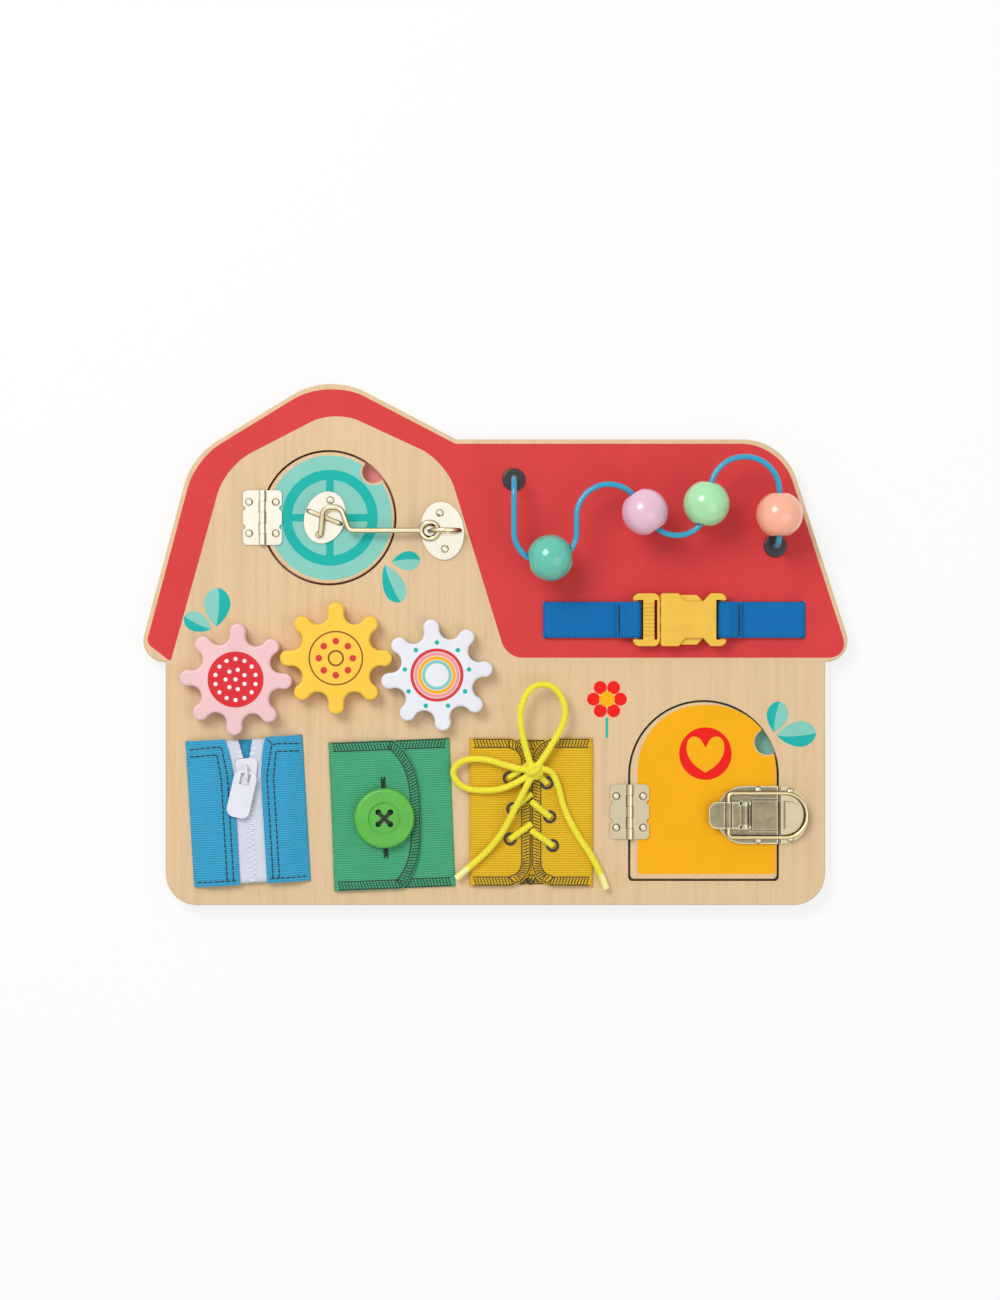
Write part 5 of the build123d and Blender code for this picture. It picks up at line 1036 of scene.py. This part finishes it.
def strap(name, slot_x, bar_x, side):
    """Webbing out of its slot, round the buckle's bar and back over itself."""
    reach = side * (bar_x - slot_x)
    wrap = [(reach + WRAP_RADIUS * math.sin(turn), BAR_RISE - WRAP_RADIUS * math.cos(turn))
            for turn in (i * math.pi / 8 for i in range(9))]
    lap, tip, lap_rise = STRAP_LAP
    path = [*STRAP_TAIL, STRAP_EXIT, *wrap, (reach - STRAP_RETURN, BAR_RISE + WRAP_RADIUS),
            (reach - lap, lap_rise), (reach - lap - tip, lap_rise)]
    total = sum(lengths(path))
    bm = sheet_grid(120, 10, total, STRAP_WIDTH, (0.5, 0.0))
    for vert in bm.verts:
        x, z = walk(path, (vert.co.x + 0.5) * total)
        vert.co = (slot_x + side * x, STRAP_Y + vert.co.y * STRAP_WIDTH, FACE + z)
    made = piece(name, bm, None, WEBBING, smooth=True)
    thicken(made, STRAP_THICK)
    return made, (total * MM, STRAP_WIDTH * MM)


strap_left, strap_left_flat = strap("strap_left_look", STRAP_SLOTS[0], STRAP_BARS[0], 1)
strap_right, strap_right_flat = strap("strap_right_look", STRAP_SLOTS[1], STRAP_BARS[1], -1)
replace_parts(strap_left, "strap_left")
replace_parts(strap_right, "strap_right")
strap_panel = (0.0, STRAP_Y, 0.0)
seam_end = STRAP_WIDTH / 2 - STRAP_SEAM_END
strap_stitches = []
for sheet, x in ((strap_left, STRAP_BARS[0] - STRAP_LAP[0]), (strap_right, STRAP_BARS[1] + STRAP_LAP[0])):
    spans = running([(x, -seam_end), (x, seam_end)], *STRAP_STITCH)
    name = sheet.name.replace("look", "stitches")
    strap_stitches.append(threads(name, strap_panel, spans, ground_of(sheet), STRAP_STITCH_RADIUS,
                                  STRAP_THREAD))
for made in (strap_left, strap_stitches[0]):
    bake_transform(made)
for made in (strap_right, strap_stitches[1]):
    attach(made, "board")


# Lace

def curve(name, routes, radius, finish, body="board"):
    """Round cord along routes in millimetres, whose points steer a smooth line."""
    data = bpy.data.curves.new(name, "CURVE")
    data.dimensions = "3D"
    data.bevel_depth = radius * MM
    data.bevel_resolution = 5
    data.resolution_u = 10
    data.use_fill_caps = True
    for route in routes:
        spline = data.splines.new("NURBS")
        spline.points.add(len(route) - 1)
        for point, place in zip(spline.points, route):
            point.co = (*(Vector(place) * MM), 1.0)
        spline.order_u = 3
        spline.use_endpoint_u = True
        spline.use_smooth = True
    data.materials.append(finish)
    made = bpy.data.objects.new(name, data)
    bpy.context.collection.objects.link(made)
    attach(made, body)
    return made


def lace_route(route):
    return [on_panel(LACE_PANEL, *point) for point in route]


crossing_routes = [lace_route((
    (x, y, CROSSING_HEIGHTS[0]), (CROSSING_BEND_SHARE * x, y + CROSSING_CLIMB[0], CROSSING_HEIGHTS[1]),
    (0.0, y + CROSSING_CLIMB[1], CROSSING_HEIGHTS[2]))) for x, y in EYELETS]
crossings = curve("lace_crossings_look", crossing_routes, LACE_RADIUS, SHORT_LACE)
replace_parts(crossings, "lace_crossings")
bm = bmesh.new()
knot_place = Matrix.Translation(on_panel(LACE_PANEL, *KNOT)) @ Matrix.Diagonal((*KNOT_SIZE, 1.0))
bm.loops.layers.uv.new("plait")
bmesh.ops.create_uvsphere(bm, u_segments=24, v_segments=14, radius=1.0, matrix=knot_place, calc_uvs=True)
knot = piece("lace_knot_look", bm, "board", KNOT_LACE, smooth=True)
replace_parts(knot, "lace_knot")
knot_wrap = curve("lace_knot_wrap", [lace_route(KNOT_WRAP)], LACE_RADIUS, SHORT_LACE)


def lace_run(name, points):
    return curve(name, [points], LACE_RADIUS, LACE)


def declare_lace(made, stands_for):
    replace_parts(made, stands_for)


for name, route, knotted in (("lace_loop_top_look", LOOP_TOP, [crossings, knot, knot_wrap]),
                             ("lace_loop_left_look", LOOP_LEFT, [])):
    points = lace_route(route)
    declare_lace(lace_run(name, points), "lace_loops")
for name, route in (("lace_tail_left", TAIL_LEFT), ("lace_tail_right", TAIL_RIGHT)):
    points = lace_route(route)
    tail = lace_run(name + "_look", points)
    end = points[-1]
    back = (points[-2] - end).normalized()
    tip_route = [end + back * TIP_LENGTH, end + back * TIP_LENGTH / 2, end]
    tip = curve(name + "_tip", [tip_route], LACE_RADIUS + TIP_WALL, LACE_TIP)
    declare_lace(tail, "lace_tails")

# Thread in the button's holes, two crossed bundles of three strands
button_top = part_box("button")[1][2] / MM
far, near = THREAD_REACH_SHARES
dip = Vector((0.0, 0.0, -THREAD_DIP))
strands = []
for turn, rise in ((math.pi / 4, THREAD_RISES[0]), (3 * math.pi / 4, THREAD_RISES[1])):
    way = Vector((math.cos(turn), math.sin(turn), 0.0)) * BUTTON_HOLE
    for aside in (-THREAD_STEP, 0.0, THREAD_STEP):
        off = Vector((-way.y, way.x, 0.0)) / BUTTON_HOLE * aside
        centre = Vector((*BUTTON, button_top + rise)) + off
        strands.append([centre - way * far + dip, centre - way * near, centre,
                        centre + way * near, centre + way * far + dip])
button_thread = curve("button_thread_look", strands, BUTTON_THREAD_RADIUS, THREAD)
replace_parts(button_thread, "button_thread")


# Floor, light and camera

def seen_rays(tree):
    """One for what the camera sees directly, in a reflection or through a clear piece."""
    rays = node(tree, "LightPath").outputs
    direct = maths(tree, "ADD", rays["Is Camera Ray"], rays["Is Glossy Ray"])
    return maths(tree, "MINIMUM", maths(tree, "ADD", direct, rays["Is Transmission Ray"]), 1.0)


floor_material, tree, shader = new_material("floor", 0.9)
shader.inputs["Base Color"].default_value = grey(0.9)
glow = node(tree, "Emission", {"Color": grey(1.0), "Strength": 1.0})
share = maths(tree, "MULTIPLY", seen_rays(tree), FLOOR_GLOW_SHARE)
both = node(tree, "MixShader", {0: share, 1: shader.outputs[0], 2: glow.outputs[0]})
tree.links.new(both.outputs[0], tree.nodes["Material Output"].inputs["Surface"])
bm = bmesh.new()
bmesh.ops.create_grid(bm, x_segments=1, y_segments=1, size=FLOOR_HALF * MM)
floor_mesh = bpy.data.meshes.new("floor")
bm.to_mesh(floor_mesh)
bm.free()
floor_mesh.materials.append(floor_material)
floor = bpy.data.objects.new("floor", floor_mesh)
bpy.context.collection.objects.link(floor)
floor.location.z = cad_box[0][2] - FLOOR_GAP * MM

world = bpy.data.worlds.new("studio")
bpy.context.scene.world = world
world.use_nodes = True
tree = world.node_tree
strength = maths(tree, "MULTIPLY_ADD", seen_rays(tree), 1 - SKY_LIGHT, SKY_LIGHT)
tree.links.new(strength, tree.nodes["Background"].inputs["Strength"])
tree.nodes["Background"].inputs["Color"].default_value = grey(1.0)


def lamp(name, place, width, power):
    """A square lamp that points at the middle of the part."""
    data = bpy.data.lights.new(name, "AREA")
    data.size = width * MM
    data.energy = power
    made = bpy.data.objects.new(name, data)
    bpy.context.collection.objects.link(made)
    made.location = Vector(place) * MM
    made.rotation_euler = (-Vector(place)).to_track_quat("-Z", "Y").to_euler()


lamp("key", *KEY_LAMP)
lamp("fill", *FILL_LAMP)

camera_data = bpy.data.cameras.new("camera")
camera_data.sensor_fit = "VERTICAL"
camera_data.sensor_height = CAMERA_SENSOR
camera_data.lens = CAMERA_LENS
camera = bpy.data.objects.new("camera", camera_data)
bpy.context.collection.objects.link(camera)
camera.location = (CAMERA_X * MM, CAMERA_Y * MM, (FACE + CAMERA_HEIGHT) * MM)
bpy.context.scene.camera = camera

bpy.context.scene.view_settings.view_transform = "Standard"
